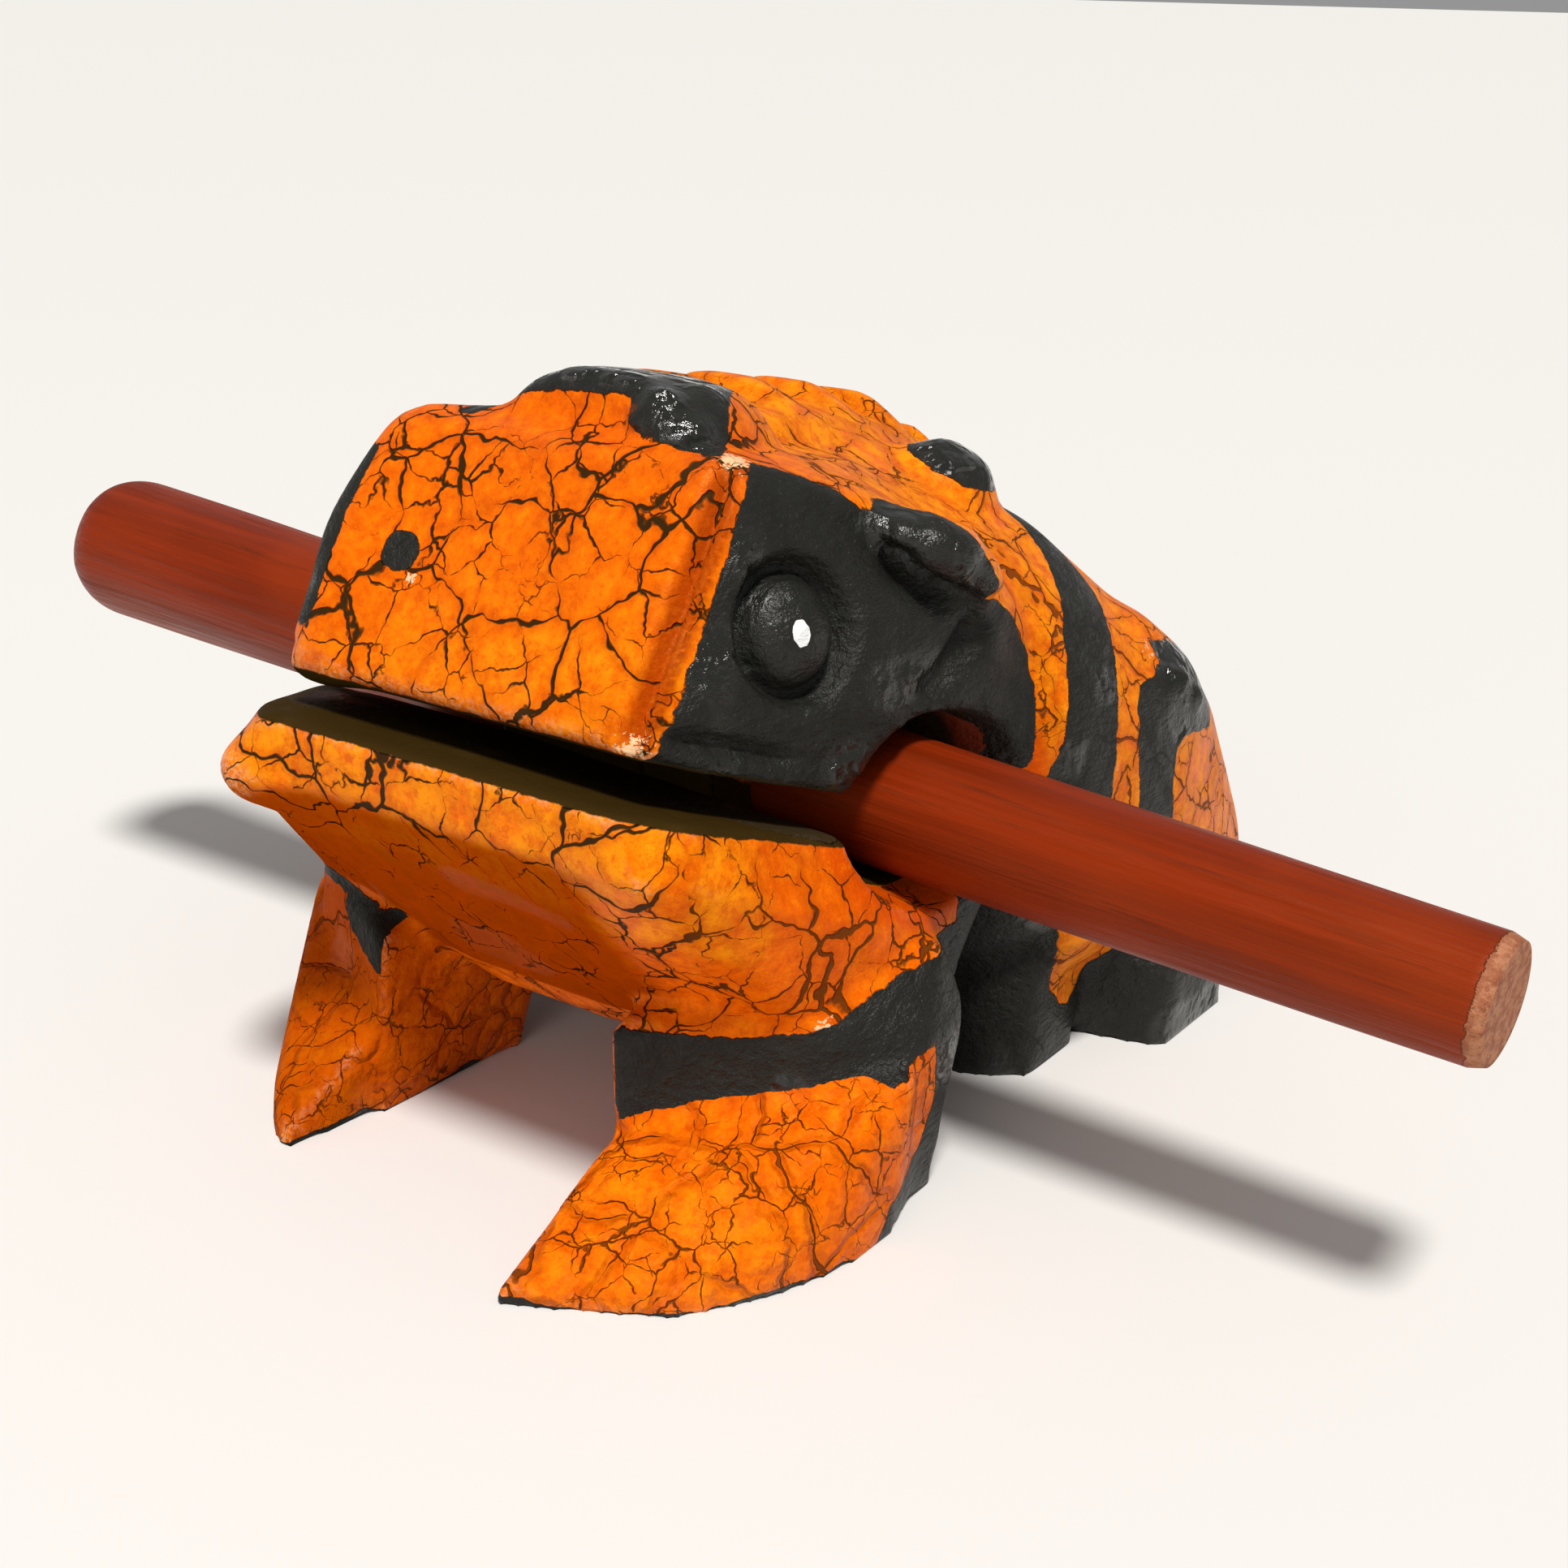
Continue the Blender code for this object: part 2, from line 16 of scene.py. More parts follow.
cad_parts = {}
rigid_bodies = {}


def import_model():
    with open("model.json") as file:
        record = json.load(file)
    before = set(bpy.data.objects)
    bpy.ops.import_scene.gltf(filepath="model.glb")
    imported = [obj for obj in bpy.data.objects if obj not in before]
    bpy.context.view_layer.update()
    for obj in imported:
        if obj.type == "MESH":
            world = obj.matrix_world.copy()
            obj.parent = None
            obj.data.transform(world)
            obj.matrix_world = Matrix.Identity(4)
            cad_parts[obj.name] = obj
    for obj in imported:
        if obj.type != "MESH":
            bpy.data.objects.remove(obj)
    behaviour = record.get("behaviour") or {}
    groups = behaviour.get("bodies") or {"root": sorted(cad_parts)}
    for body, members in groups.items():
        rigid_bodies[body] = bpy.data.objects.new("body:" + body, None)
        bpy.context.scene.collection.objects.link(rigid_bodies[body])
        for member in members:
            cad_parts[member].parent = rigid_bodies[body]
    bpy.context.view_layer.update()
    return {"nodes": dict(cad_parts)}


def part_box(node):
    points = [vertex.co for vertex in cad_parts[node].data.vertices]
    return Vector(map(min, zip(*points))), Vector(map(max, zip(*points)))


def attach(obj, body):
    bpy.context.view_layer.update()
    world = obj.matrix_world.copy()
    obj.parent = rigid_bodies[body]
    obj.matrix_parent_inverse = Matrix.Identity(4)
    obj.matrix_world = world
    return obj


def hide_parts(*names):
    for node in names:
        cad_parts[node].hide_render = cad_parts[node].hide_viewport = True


for startup_object in list(bpy.data.objects):
    bpy.data.objects.remove(startup_object)
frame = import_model()

bl_info = {
    "name": "Frog Guiro",
    "version": (1, 0, 0),
    "blender": (4, 5, 0),
    "location": "3D View > Sidebar > Guiro",
    "description": "Carves and paints a wooden frog guiro, turns its stick and sets the stage for it",
    "category": "Object",
}

MM = 0.001
# The frog's own middle line in X, its paint being laid out to both sides of it.
MIDDLE = 1.45

# Mouth cut: its upper edge passes through this (y, z) and falls backwards, and the gap is this high.
MOUTH_FRONT = (-35.5, 39.5)
MOUTH_FALL = 0.34
MOUTH_GAP = 3.8

# Sound hole: centre (y, z), half sizes and how it falls towards +X.
HOLE_CENTRE = (-9.1, 31.95)
HOLE_HALF = (9.6, 6.8)
HOLE_FALL = math.tan(math.radians(2.45))

# Black paint on the left side, as outlines in (y, z). The right side takes the same, but for its front leg.
HEAD_SIDE = [
    (-21.5, 57.8), (-20.0, 58.4), (-17.0, 57.3), (-14.7, 56.3), (-13.0, 55.2), (-12.2, 54.3), (-11.4, 54.2),
    (-10.2, 54.7), (-8.8, 54.4), (-7.4, 53.6), (-6.6, 52.0), (-5.5, 50.2), (-4.7, 48.2), (-4.4, 46.9),
    (-1.0, 45.8), (1.2, 44.1), (2.6, 41.1), (3.0, 37.7), (2.9, 34.3), (2.5, 31.4), (0.5, 30.4), (-9.0, 30.5),
    (-20.5, 30.5), (-37.0, 37.4), (-36.0, 39.0), (-34.2, 40.1), (-32.9, 42.5), (-30.9, 45.6), (-28.7, 48.8),
    (-26.4, 52.2), (-24.1, 55.1),
]
FLANK_STRIPE = [
    (14.3, 52.0), (14.0, 48.8), (11.8, 46.1), (10.0, 44.4), (7.3, 41.6), (6.2, 37.9), (5.6, 34.7), (4.5, 32.1),
    (3.6, 30.4), (1.5, 26.5), (-3.0, 23.8), (-7.5, 23.2), (-8.6, 20.0), (-8.6, -2.0), (19.5, -2.0), (19.0, 4.4),
    (15.6, 4.6), (12.2, 5.8), (9.8, 8.3), (9.6, 10.8), (8.2, 14.6), (9.2, 20.0), (10.8, 26.4), (11.2, 28.5),
    (11.8, 32.6), (13.5, 37.7), (15.4, 40.5), (17.7, 42.8), (18.6, 45.5), (19.0, 52.0),
]
KNEE_STRIPE = [
    (21.0, 38.2), (20.9, 36.6), (19.0, 35.6), (16.9, 35.4), (15.3, 33.9), (14.7, 29.8), (15.4, 24.5),
    (16.5, 17.0), (17.5, 12.0), (17.4, 8.8), (15.8, 6.2), (13.0, 4.4), (12.0, -2.0), (50.0, -2.0), (50.0, 8.6),
    (33.0, 10.6), (27.5, 13.0), (23.0, 17.5), (20.6, 22.4), (20.5, 26.2), (21.1, 29.0), (22.7, 29.7),
    (28.9, 28.9), (30.6, 31.5), (28.6, 34.8), (24.6, 37.6),
]
LEG_BAND = [
    (-36.0, 6.6), (-30.8, 8.0), (-28.9, 9.6), (-27.3, 10.3), (-16.4, 14.6), (-15.3, 9.0), (-17.0, 5.0),
    (-22.5, 2.6), (-24.5, -2.0), (-5.0, -2.0), (-7.0, 21.0), (-12.0, 21.0), (-17.6, 19.8), (-24.8, 16.8),
    (-27.7, 15.7), (-36.0, 15.7),
]
RIGHT_LEG_BAND = [
    (-33.5, 15.7), (-33.5, 12.7), (-31.7, 12.9), (-28.2, 14.2), (-27.2, 16.7), (-24.8, 16.6), (-16.4, 14.6),
    (-15.3, 9.0), (-17.0, 5.0), (-22.5, 2.6), (-24.5, -2.0), (-5.0, -2.0), (-7.0, 21.0), (-12.0, 21.0),
    (-17.6, 19.8), (-24.8, 18.6),
]
# Lower edge (x, z) of the black on the first bar over the brow.
BAR_EDGE = [(-11.0, 57.4), (-6.5, 60.2), (-4.2, 60.9), (-0.8, 61.5), (6.2, 62.0), (6.9, 60.4), (8.6, 59.3),
            (12.0, 59.0), (14.0, 57.0)]

EYE_SPOT = (23.7, -21.2, 47.0)
EYE_GLINT = (23.7, -21.6, 46.8)
NOSTRIL = (-9.0, -29.5, 49.1)

# Lumps of thick black paint: centre and radius.
PAINT_LUMPS = [
    ((8.8, -19.8, 61.0), 1.5), ((7.8, -20.6, 60.2), 1.1), ((9.9, -20.6, 59.8), 1.2), ((11.6, -19.4, 59.6), 1.3),
    ((10.0, -16.4, 60.8), 1.4), ((33.6, 22.4, 34.6), 1.1), ((34.2, 24.6, 32.6), 1.0), ((33.0, 21.2, 32.8), 0.9),
]

# Tones on the frog beside the paints that a user sets.
BARE_WOOD = (0.82, 0.50, 0.28)
DARK_FLECKS = (0.55, 0.066, 0.001)
# Painted shade for the wall of the groove beside the face's edge.
GROOVE_SHADE = (0.36, 0.050, 0.001)
THIN_CRACK = (0.28, 0.052, 0.002)
BLACK_DUST = (0.07, 0.072, 0.07)
# Painted shade for the hollows, with dark base paint in the mouth cut as well.
HOLLOW_SHADE_AND_PAINT = (0.030, 0.017, 0.003)
# Painted light for the lit rear wall inside the sound hole.
HOLLOW_RIM_LIGHT = (0.20, 0.026, 0.006)
# Painted highlight: the white glint on each eye dome.
EYE_GLINT_COLOUR = (0.82, 0.83, 0.82)
PAINT_SHEEN = (1.0, 0.50, 0.14)
BLACK_SHEEN = (1.0, 1.0, 1.0)

# The stick's axis, as (y, z) at its thick and thin ends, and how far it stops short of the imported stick.
STICK_THICK_END = (-7.6, 35.9)
STICK_THIN_END = (-9.2, 27.1)
STICK_INSET = 0.0002

# Tones and gloss of the stick beside its stain and bare wood.
LIGHT_STAIN = (0.26, 0.028, 0.003)
DARK_GRAIN = (0.07, 0.010, 0.002)
SHADED_WOOD = (0.30, 0.10, 0.05)
STICK_SHEEN = (1.0, 0.45, 0.25, 1.0)
STICK_SPECULAR = 0.32

# Camera: azimuth, elevation and roll in degrees, its place, and its lens on a sensor this wide.
CAMERA_ANGLES = (35.0, 20.0, 1.4)
CAMERA_PLACE = (111.51, -148.88, 91.31)
CAMERA_LENS = 50.31
CAMERA_SENSOR = 36.0

# Lights: angles in degrees, and places and sizes in metres.
KEY_SPREAD = 11.0
KEY_AZIMUTH = 44.0
KEY_ELEVATION = 66.0
KEY_COLOUR = (1.0, 0.975, 0.94)
FILL_PLACE = (0.10, -0.50, 0.16)
FILL_TARGET = (0.0, 0.0, 0.03)
FILL_SIZE = 0.30
FILL_COLOUR = (1.0, 0.97, 0.93)
FLOOR_REACH = 30.0


class GuiroBody(bpy.types.PropertyGroup):
    skin: FloatProperty(
        name="Skin cell",
        description="Size of the cells that the block is skinned with before carving",
        default=0.6 * MM,
        min=0.4 * MM,
        subtype="DISTANCE",
        unit="LENGTH",
        precision=5,
    )
    rubbing: IntProperty(
        name="Rubbing down", description="How often the torso is rubbed with sandpaper", default=22, min=0
    )
    tool_marks: FloatProperty(
        name="Knife marks",
        description="Depth of the flats that the knife leaves",
        default=0.35 * MM,
        subtype="DISTANCE",
        unit="LENGTH",
        precision=5,
    )
    orange: FloatVectorProperty(
        name="Orange paint", description="Top coat", default=(0.84, 0.152, 0.001), subtype="COLOR", size=3
    )
    yellow: FloatVectorProperty(
        name="Yellow paint", description="Top coat on the lip and toes",
        default=(0.90, 0.270, 0.003),
        subtype="COLOR",
    )
    red: FloatVectorProperty(
        name="Red paint", description="Thin top coat", default=(0.68, 0.080, 0.001), subtype="COLOR"
    )
    undercoat: FloatVectorProperty(
        name="Undercoat", description="Dark coat seen in the cracks",
        default=(0.030, 0.013, 0.003),
        subtype="COLOR",
    )
    black: FloatVectorProperty(
        name="Black paint", description="Bands, head sides and bars",
        default=(0.0138, 0.0138, 0.0108),
        subtype="COLOR",
    )
    crack_cell: FloatProperty(
        name="Crackle size",
        description="Usual size of a flake of paint between cracks",
        default=8.0 * MM,
        subtype="DISTANCE",
        unit="LENGTH",
        precision=4,
    )


class GuiroStick(bpy.types.PropertyGroup):
    thick: FloatProperty(
        name="Thick end", description="Diameter at the rounded end", default=14.1 * MM, subtype="DISTANCE",
        unit="LENGTH", precision=4,
    )
    thin: FloatProperty(
        name="Thin end", description="Diameter at the cut end", default=9.6 * MM, subtype="DISTANCE",
        unit="LENGTH", precision=4,
    )
    dome: FloatProperty(
        name="Rounding", description="Length over which the thick end is rounded", default=6.5 * MM,
        subtype="DISTANCE", unit="LENGTH", precision=4,
    )
    stain: FloatVectorProperty(
        name="Stain", description="Red brown stain", default=(0.22, 0.019, 0.0015), subtype="COLOR"
    )
    raw: FloatVectorProperty(
        name="Bare wood",
        description="Wood where the stain is missing",
        default=(0.44, 0.19, 0.10),
        subtype="COLOR",
    )


class GuiroStage(bpy.types.PropertyGroup):
    floor: FloatVectorProperty(
        name="Floor", description="Pale floor", default=(0.72, 0.71, 0.69), subtype="COLOR"
    )
    world: FloatProperty(name="World light", description="Strength of the pale world", default=0.30)
    key: FloatProperty(name="Key light", description="Soft light from high in front", default=3.45)
    fill: FloatProperty(
        name="Fill light", description="Weak light from the front", default=0.5, subtype="POWER", unit="POWER"
    )


def numbers(collection, key, width, kind=np.float64):
    """One array with a property of every item of a mesh."""
    values = np.empty(len(collection) * width, kind)
    collection.foreach_get(key, values)
    return values.reshape(-1, width) if width > 1 else values


def smooth_random(points, size, seed):
    """Random values from -1 to 1 that change smoothly over about size millimetres."""
    q = points / size + 11.7 * seed
    cell = np.floor(q).astype(np.int64)
    f = q - cell
    f = f * f * (3 - 2 * f)
    total = np.zeros(len(points))
    for corner in range(8):
        step = np.array([corner & 1, corner >> 1 & 1, corner >> 2 & 1])
        at = cell + step
        code = at[:, 0] * 73856093 ^ at[:, 1] * 19349663 ^ at[:, 2] * 83492791 ^ (seed * 40503)
        code = (code ^ (code >> 13)) * 1274126177 & 0xFFFFFFFF
        code = (code ^ (code >> 16)) * 668265263 & 0xFFFFFFFF
        weight = np.prod(np.where(step, f, 1 - f), axis=1)
        total += weight * (code / 0xFFFFFFFF * 2 - 1)
    return total


def ease(value, start, end):
    """Rises smoothly from 0 at start to 1 at end."""
    t = np.clip((value - start) / (end - start), 0, 1)
    return t * t * (3 - 2 * t)


def inside(outline, across, up):
    """How far points lie inside an outline, in millimetres, and below zero outside it."""
    nearest = np.full(len(across), 1e9)
    within = np.zeros(len(across), bool)
    corners = np.array(outline, float)
    for (ax, ay), (bx, by) in zip(corners, np.roll(corners, -1, axis=0)):
        ex, ey = bx - ax, by - ay
        px, py = across - ax, up - ay
        t = np.clip((px * ex + py * ey) / (ex * ex + ey * ey), 0, 1)
        nearest = np.minimum(nearest, np.hypot(px - t * ex, py - t * ey))
        crosses = (ay > up) != (by > up)
        if ey:
            within ^= crosses & (px < ex * (up - ay) / ey)
    return np.where(within, nearest, -nearest)


class Skin:
    """The dense skin of the block as arrays in millimetres, for the knife, the sandpaper and the brush."""

    def __init__(self, mesh):
        self.mesh = mesh
        self.co = numbers(mesh.vertices, "co", 3) / MM
        self.edges = numbers(mesh.edges, "vertices", 2, np.int32)
        self.count = len(self.co)
        self.valence = np.bincount(self.edges.ravel(), minlength=self.count)
        self.corners = numbers(mesh.loops, "vertex_index", 1, np.int32).reshape(-1, 4)
        self.refresh()

    def refresh(self):
        """Normals from the four corners of each face."""
        a, b, c, d = (self.co[self.corners[:, k]] for k in range(4))
        face = np.cross(c - a, d - b)
        normal = np.zeros((self.count, 3))
        for k in range(4):
            for axis in range(3):
                normal[:, axis] += np.bincount(self.corners[:, k], face[:, axis], self.count)
        self.normal = normal / np.maximum(np.linalg.norm(normal, axis=1), 1e-12)[:, None]

    def mean_of_neighbours(self, values):
        a, b = self.edges.T
        result = np.empty_like(values)
        for axis in range(values.shape[1]):
            column = values[:, axis]
            total = np.bincount(a, column[b], self.count) + np.bincount(b, column[a], self.count)
            result[:, axis] = total / self.valence
        return result

    def rub(self, weight, passes):
        """Sandpaper: takes down edges and fills corners, by weight from 0 to 1."""
        for _ in range(passes):
            self.co += 0.5 * weight[:, None] * (self.mean_of_neighbours(self.co) - self.co)
        self.refresh()

    def push(self, amount):
        self.co += self.normal * amount[:, None]

    def distance(self, line):
        """Distance to a line of points, and how far along it, from 0 to 1, the nearest place is."""
        line = np.array(line, float)
        nearest = np.full(self.count, 1e9)
        along = np.zeros(self.count)
        for k, (a, b) in enumerate(zip(line, line[1:])):
            e = b - a
            t = np.clip((self.co - a) @ e / (e @ e), 0, 1)
            d = np.linalg.norm(self.co - a - t[:, None] * e, axis=1)
            closer = d < nearest
            nearest = np.where(closer, d, nearest)
            along = np.where(closer, (k + t) / (len(line) - 1), along)
        return nearest, along

    def stroke(self, line, width, height, tapered=True):
        """A groove, or a ridge where height is above zero, along a line of points."""
        d, along = self.distance(line)
        amount = height * np.exp(-((d / width) ** 2))
        if tapered:
            amount *= np.clip(4 * along, 0.35, 1) * np.clip(4 * (1 - along), 0.35, 1)
        self.push(amount)

    def mound(self, centre, radii, height, power=2):
        """A rounded swelling, with radii along X, Y and Z, that has a flatter top where power is high."""
        d = np.linalg.norm((self.co - np.array(centre)) / np.array(radii), axis=1)
        self.push(height * np.exp(-(d**power)))

    def local(self, centre, outer):
        """Place of each point on the surface round a centre: sideways, up, and out from the plane there."""
        centre = np.array(centre, float)
        offset = self.co - centre
        d = np.linalg.norm(offset, axis=1)
        ring = (d > outer * 1.1) & (d < outer * 1.6)
        facing = self.normal[ring] @ np.array([np.sign(centre[0] - MIDDLE), 0, 0]) > 0.3
        points = self.co[ring][facing]
        middle = points.mean(axis=0)
        out = np.linalg.svd(points - middle, full_matrices=False)[2][2]
        out *= np.sign(out[0] * (centre[0] - MIDDLE))
        side = np.cross([0.0, 0.0, 1.0], out)
        side /= np.linalg.norm(side)
        up = np.cross(out, side)
        place = self.co - (centre + out * ((middle - centre) @ out))
        return place @ side, place @ up, place @ out, out, d < outer * 2.2

    def write(self):
        self.mesh.vertices.foreach_set("co", (self.co * MM).astype(np.float32).ravel())
        self.mesh.update()

    def store(self, name, values):
        """Keeps one value for each point, for the paint to read."""
        attribute = self.mesh.attributes.new(name, "FLOAT", "POINT")
        attribute.data.foreach_set("value", values.astype(np.float32))


def other_side(points):
    """The same place or line on the frog's right."""
    points = np.array(points, float)
    points[..., 0] = 2 * MIDDLE - points[..., 0]
    return points


def both_sides(points):
    return (np.array(points, float), other_side(points))


def new_piece(name, mesh, node, material):
    """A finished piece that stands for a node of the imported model."""
    piece = bpy.data.objects.new(name, mesh)
    bpy.context.scene.collection.objects.link(piece)
    mesh.materials.clear()
    mesh.materials.append(material)
    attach(piece, "root")
    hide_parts(node)
    return piece


def skinned_block(cell):
    """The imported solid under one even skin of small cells."""
    mesh = frame["nodes"]["frog_body"].data.copy()
    joined = bmesh.new()
    joined.from_mesh(mesh)
    bmesh.ops.remove_doubles(joined, verts=joined.verts, dist=0.002 * MM)
    joined.to_mesh(mesh)
    joined.free()
    block = bpy.data.objects.new("block", mesh)
    bpy.context.scene.collection.objects.link(block)
    remesh = block.modifiers.new("skin", "REMESH")
    remesh.mode = "VOXEL"
    remesh.voxel_size = cell
    remesh.adaptivity = 0.0
    graph = bpy.context.evaluated_depsgraph_get()
    skin = bpy.data.meshes.new_from_object(block.evaluated_get(graph))
    bpy.data.objects.remove(block)
    bpy.data.meshes.remove(mesh)
    return skin


def hole_reach(co):
    """1 on the wall of the sound hole, less inside it."""
    middle = HOLE_CENTRE[1] - HOLE_FALL * (co[:, 0] - MIDDLE)
    return np.hypot((co[:, 1] - HOLE_CENTRE[0]) / HOLE_HALF[0], (co[:, 2] - middle) / HOLE_HALF[1])


def mouth_edge(y):
    """Height of the upper edge of the mouth cut."""
    return MOUTH_FRONT[1] - MOUTH_FALL * (y - MOUTH_FRONT[0])


def behind_face(co):
    """How far points lie behind the flat front of the head."""
    lean = np.array([12.3, 19.5]) / math.hypot(12.3, 19.5)
    return (co[:, 1] - MOUTH_FRONT[0]) * lean[1] - (co[:, 2] - MOUTH_FRONT[1]) * lean[0]


def rub_down(skin, passes):
    """The torso and haunches are rubbed smooth, and the head and mouth keep their edges."""
    x, y, z = skin.co.T
    reach = np.abs(x - MIDDLE)
    weight = 0.10 + 0.90 * ease(y, -14, -3)
    weight = np.where(z < 22, np.maximum(weight, 0.35), weight)
    near_hole = 1 - ease(hole_reach(skin.co), 1.1, 1.6)
    weight *= 1 - 0.85 * near_hole
    spine = (1 - ease(reach, 9, 13)) * ease(z, 18, 24)
    weight *= 1 - 0.55 * spine
    weight *= ease(z, 0.3, 1.6)
    skin.rub(weight, passes)
    skin.rub(np.full(skin.count, 0.8) * ease(z, 0.05, 0.6), 2)


def carve_eyes(skin):
    half_width = 5.2
    half_height = 5.4
    for spot in both_sides(EYE_SPOT):
        side, up, out, direction, near = skin.local(spot, 5.5)
        r = np.hypot(side / half_width, up / half_height)
        dome = -1.7 + 2.8 * np.sqrt(np.clip(1 - (r / 0.78) ** 2, 0, 1))
        groove = -2.1 * (1 - ease(r, 0.90, 1.10))
        profile = np.where(r < 0.78, np.maximum(dome, groove), groove)
        hold = (1 - ease(r, 1.10, 1.30)) * near * (np.abs(out) < 3)
        skin.co += direction * (hold * (profile - out))[:, None]
        skin.rub(0.6 * hold, 2)


def carve_head(skin):
    """Edge groove and sliver of the face, the lip line, the ear lobes and the creases behind the cheeks."""
    behind = behind_face(skin.co)
    x, _, z = skin.co.T
    facing = ease(skin.normal @ np.array([0, -0.85, 0.53]), 0.45, 0.75)
    face = (1 - ease(behind, 1.6, 2.6)) * facing * (z > 40.2)
    reach = x - MIDDLE
    groove = 0.5 * ease(reach, 15.0, 15.4) + 0.5 * ease(reach, 15.4, 16.8)
    groove *= 1 - ease(reach, 16.9, 17.3)
    sliver = ease(reach, 16.9, 17.2) * (1 - ease(reach, 17.5, 18.0))
    skin.push((0.4 * sliver - 1.6 * groove) * face)
    skin.refresh()
    skin.mound(other_side((18.5, -23.5, 53.0)), (5.0, 5.0, 6.0), 0.9)
    skin.mound(other_side((18.6, -28.0, 48.5)), (4.5, 5.0, 6.0), 1.6)
    skin.mound(other_side((17.8, -33.8, 42.5)), (4.0, 5.0, 6.0), 1.1)
    skin.mound((-18.5, -38.0, 30.8), (4.5, 4.0, 3.0), 1.8)
    skin.refresh()
    edge, _ = skin.distance([other_side((17.6, -33.9, 40.6)), other_side((17.4, -22.3, 57.0))])
    skin.rub(0.9 * (1 - ease(edge, 1.5, 3.5)), 14)
    for line in both_sides([(19.4, -34.2, 41.2), (22.1, -28.0, 39.3), (25.3, -20.9, 36.6)]):
        skin.stroke(line, 0.7, -1.3)
    for line in both_sides([(20.0, -33.8, 39.4), (22.8, -27.6, 37.2), (26.0, -20.6, 34.6)]):
        skin.stroke(line, 1.4, 0.9)
    for line in both_sides([(25.8, -10.6, 53.0), (27.9, -8.2, 51.3), (29.5, -6.0, 49.3)]):
        skin.stroke(line, 3.3, 1.0)
    skin.refresh()
    for line in both_sides([(24.1, -12.8, 52.3), (25.2, -10.6, 50.0), (26.5, -8.0, 48.0), (28.3, -5.6, 46.9)]):
        skin.stroke(line, 1.0, -2.3)
    skin.refresh()
    for centre in both_sides((23.6, -13.6, 54.3)):
        skin.mound(centre, (1.1, 1.3, 1.1), -1.1)
    for line in both_sides([(29.8, -4.4, 46.2), (28.0, -4.8, 43.6), (27.6, -7.8, 40.8), (27.0, -11.5, 39.0)]):
        skin.stroke(line, 1.2, -1.3)
    for line in both_sides([(29.6, -1.6, 44.2), (28.8, -3.4, 40.6)]):
        skin.stroke(line, 2.6, 0.6)
    skin.refresh()


def carve_back(skin):
    """The rounded first bar, swellings of the back and the knees, and lumps of thick paint."""
    x, y, z = skin.co.T
    across = np.abs(x - 2.7) / 11.3
    bar_top = 62.9 - 0.030 * (y + 16.6) ** 2 - 6.0 * across**4
    # Known fault: this also takes the floor of the sound hole and mouth cut under the bar, and lifts it too.
    over = (skin.normal[:, 2] > 0.1) & (y > -19.0) & (y < -9.0) & (across < 1.0)
    skin.co[:, 2] = np.where(over, np.maximum(z, bar_top), z)
    skin.rub(0.8 * ((y > -21) & (y < -7) & (z > 55)), 4)
    skin.mound((16.0, 11.2, 52.4), (4.2, 4.0, 4.8), 3.5, power=4)
    skin.mound(other_side((16.6, 12.4, 50.4)), (3.9, 3.7, 4.0), 2.0)
    for centre in both_sides((32.0, 24.0, 33.5)):
        skin.mound(centre, (5.0, 5.0, 4.5), 1.6)
    for centre in both_sides((21.0, 15.0, 47.5)):
        skin.mound(centre, (5.0, 5.0, 5.0), 0.8)
    skin.refresh()
    skin.mound((10.5, -16.0, 60.0), (3.0, 4.5, 2.5), 0.8)
    skin.refresh()
    for place, size in PAINT_LUMPS:
        skin.mound(place, (size, size, size), 0.8 * size)
        skin.refresh()


def cut_facets(skin, depth):
    """Flats that the knife leaves, but not in the sound hole or under the feet."""
    z = skin.co[:, 2]
    waves = smooth_random(skin.co, 7.0, 3) + 0.6 * smooth_random(skin.co, 3.2, 5)
    keep = ease(hole_reach(skin.co), 1.05, 1.4) * ease(z, 0.3, 3)
    skin.push(depth * waves * keep)
    skin.refresh()


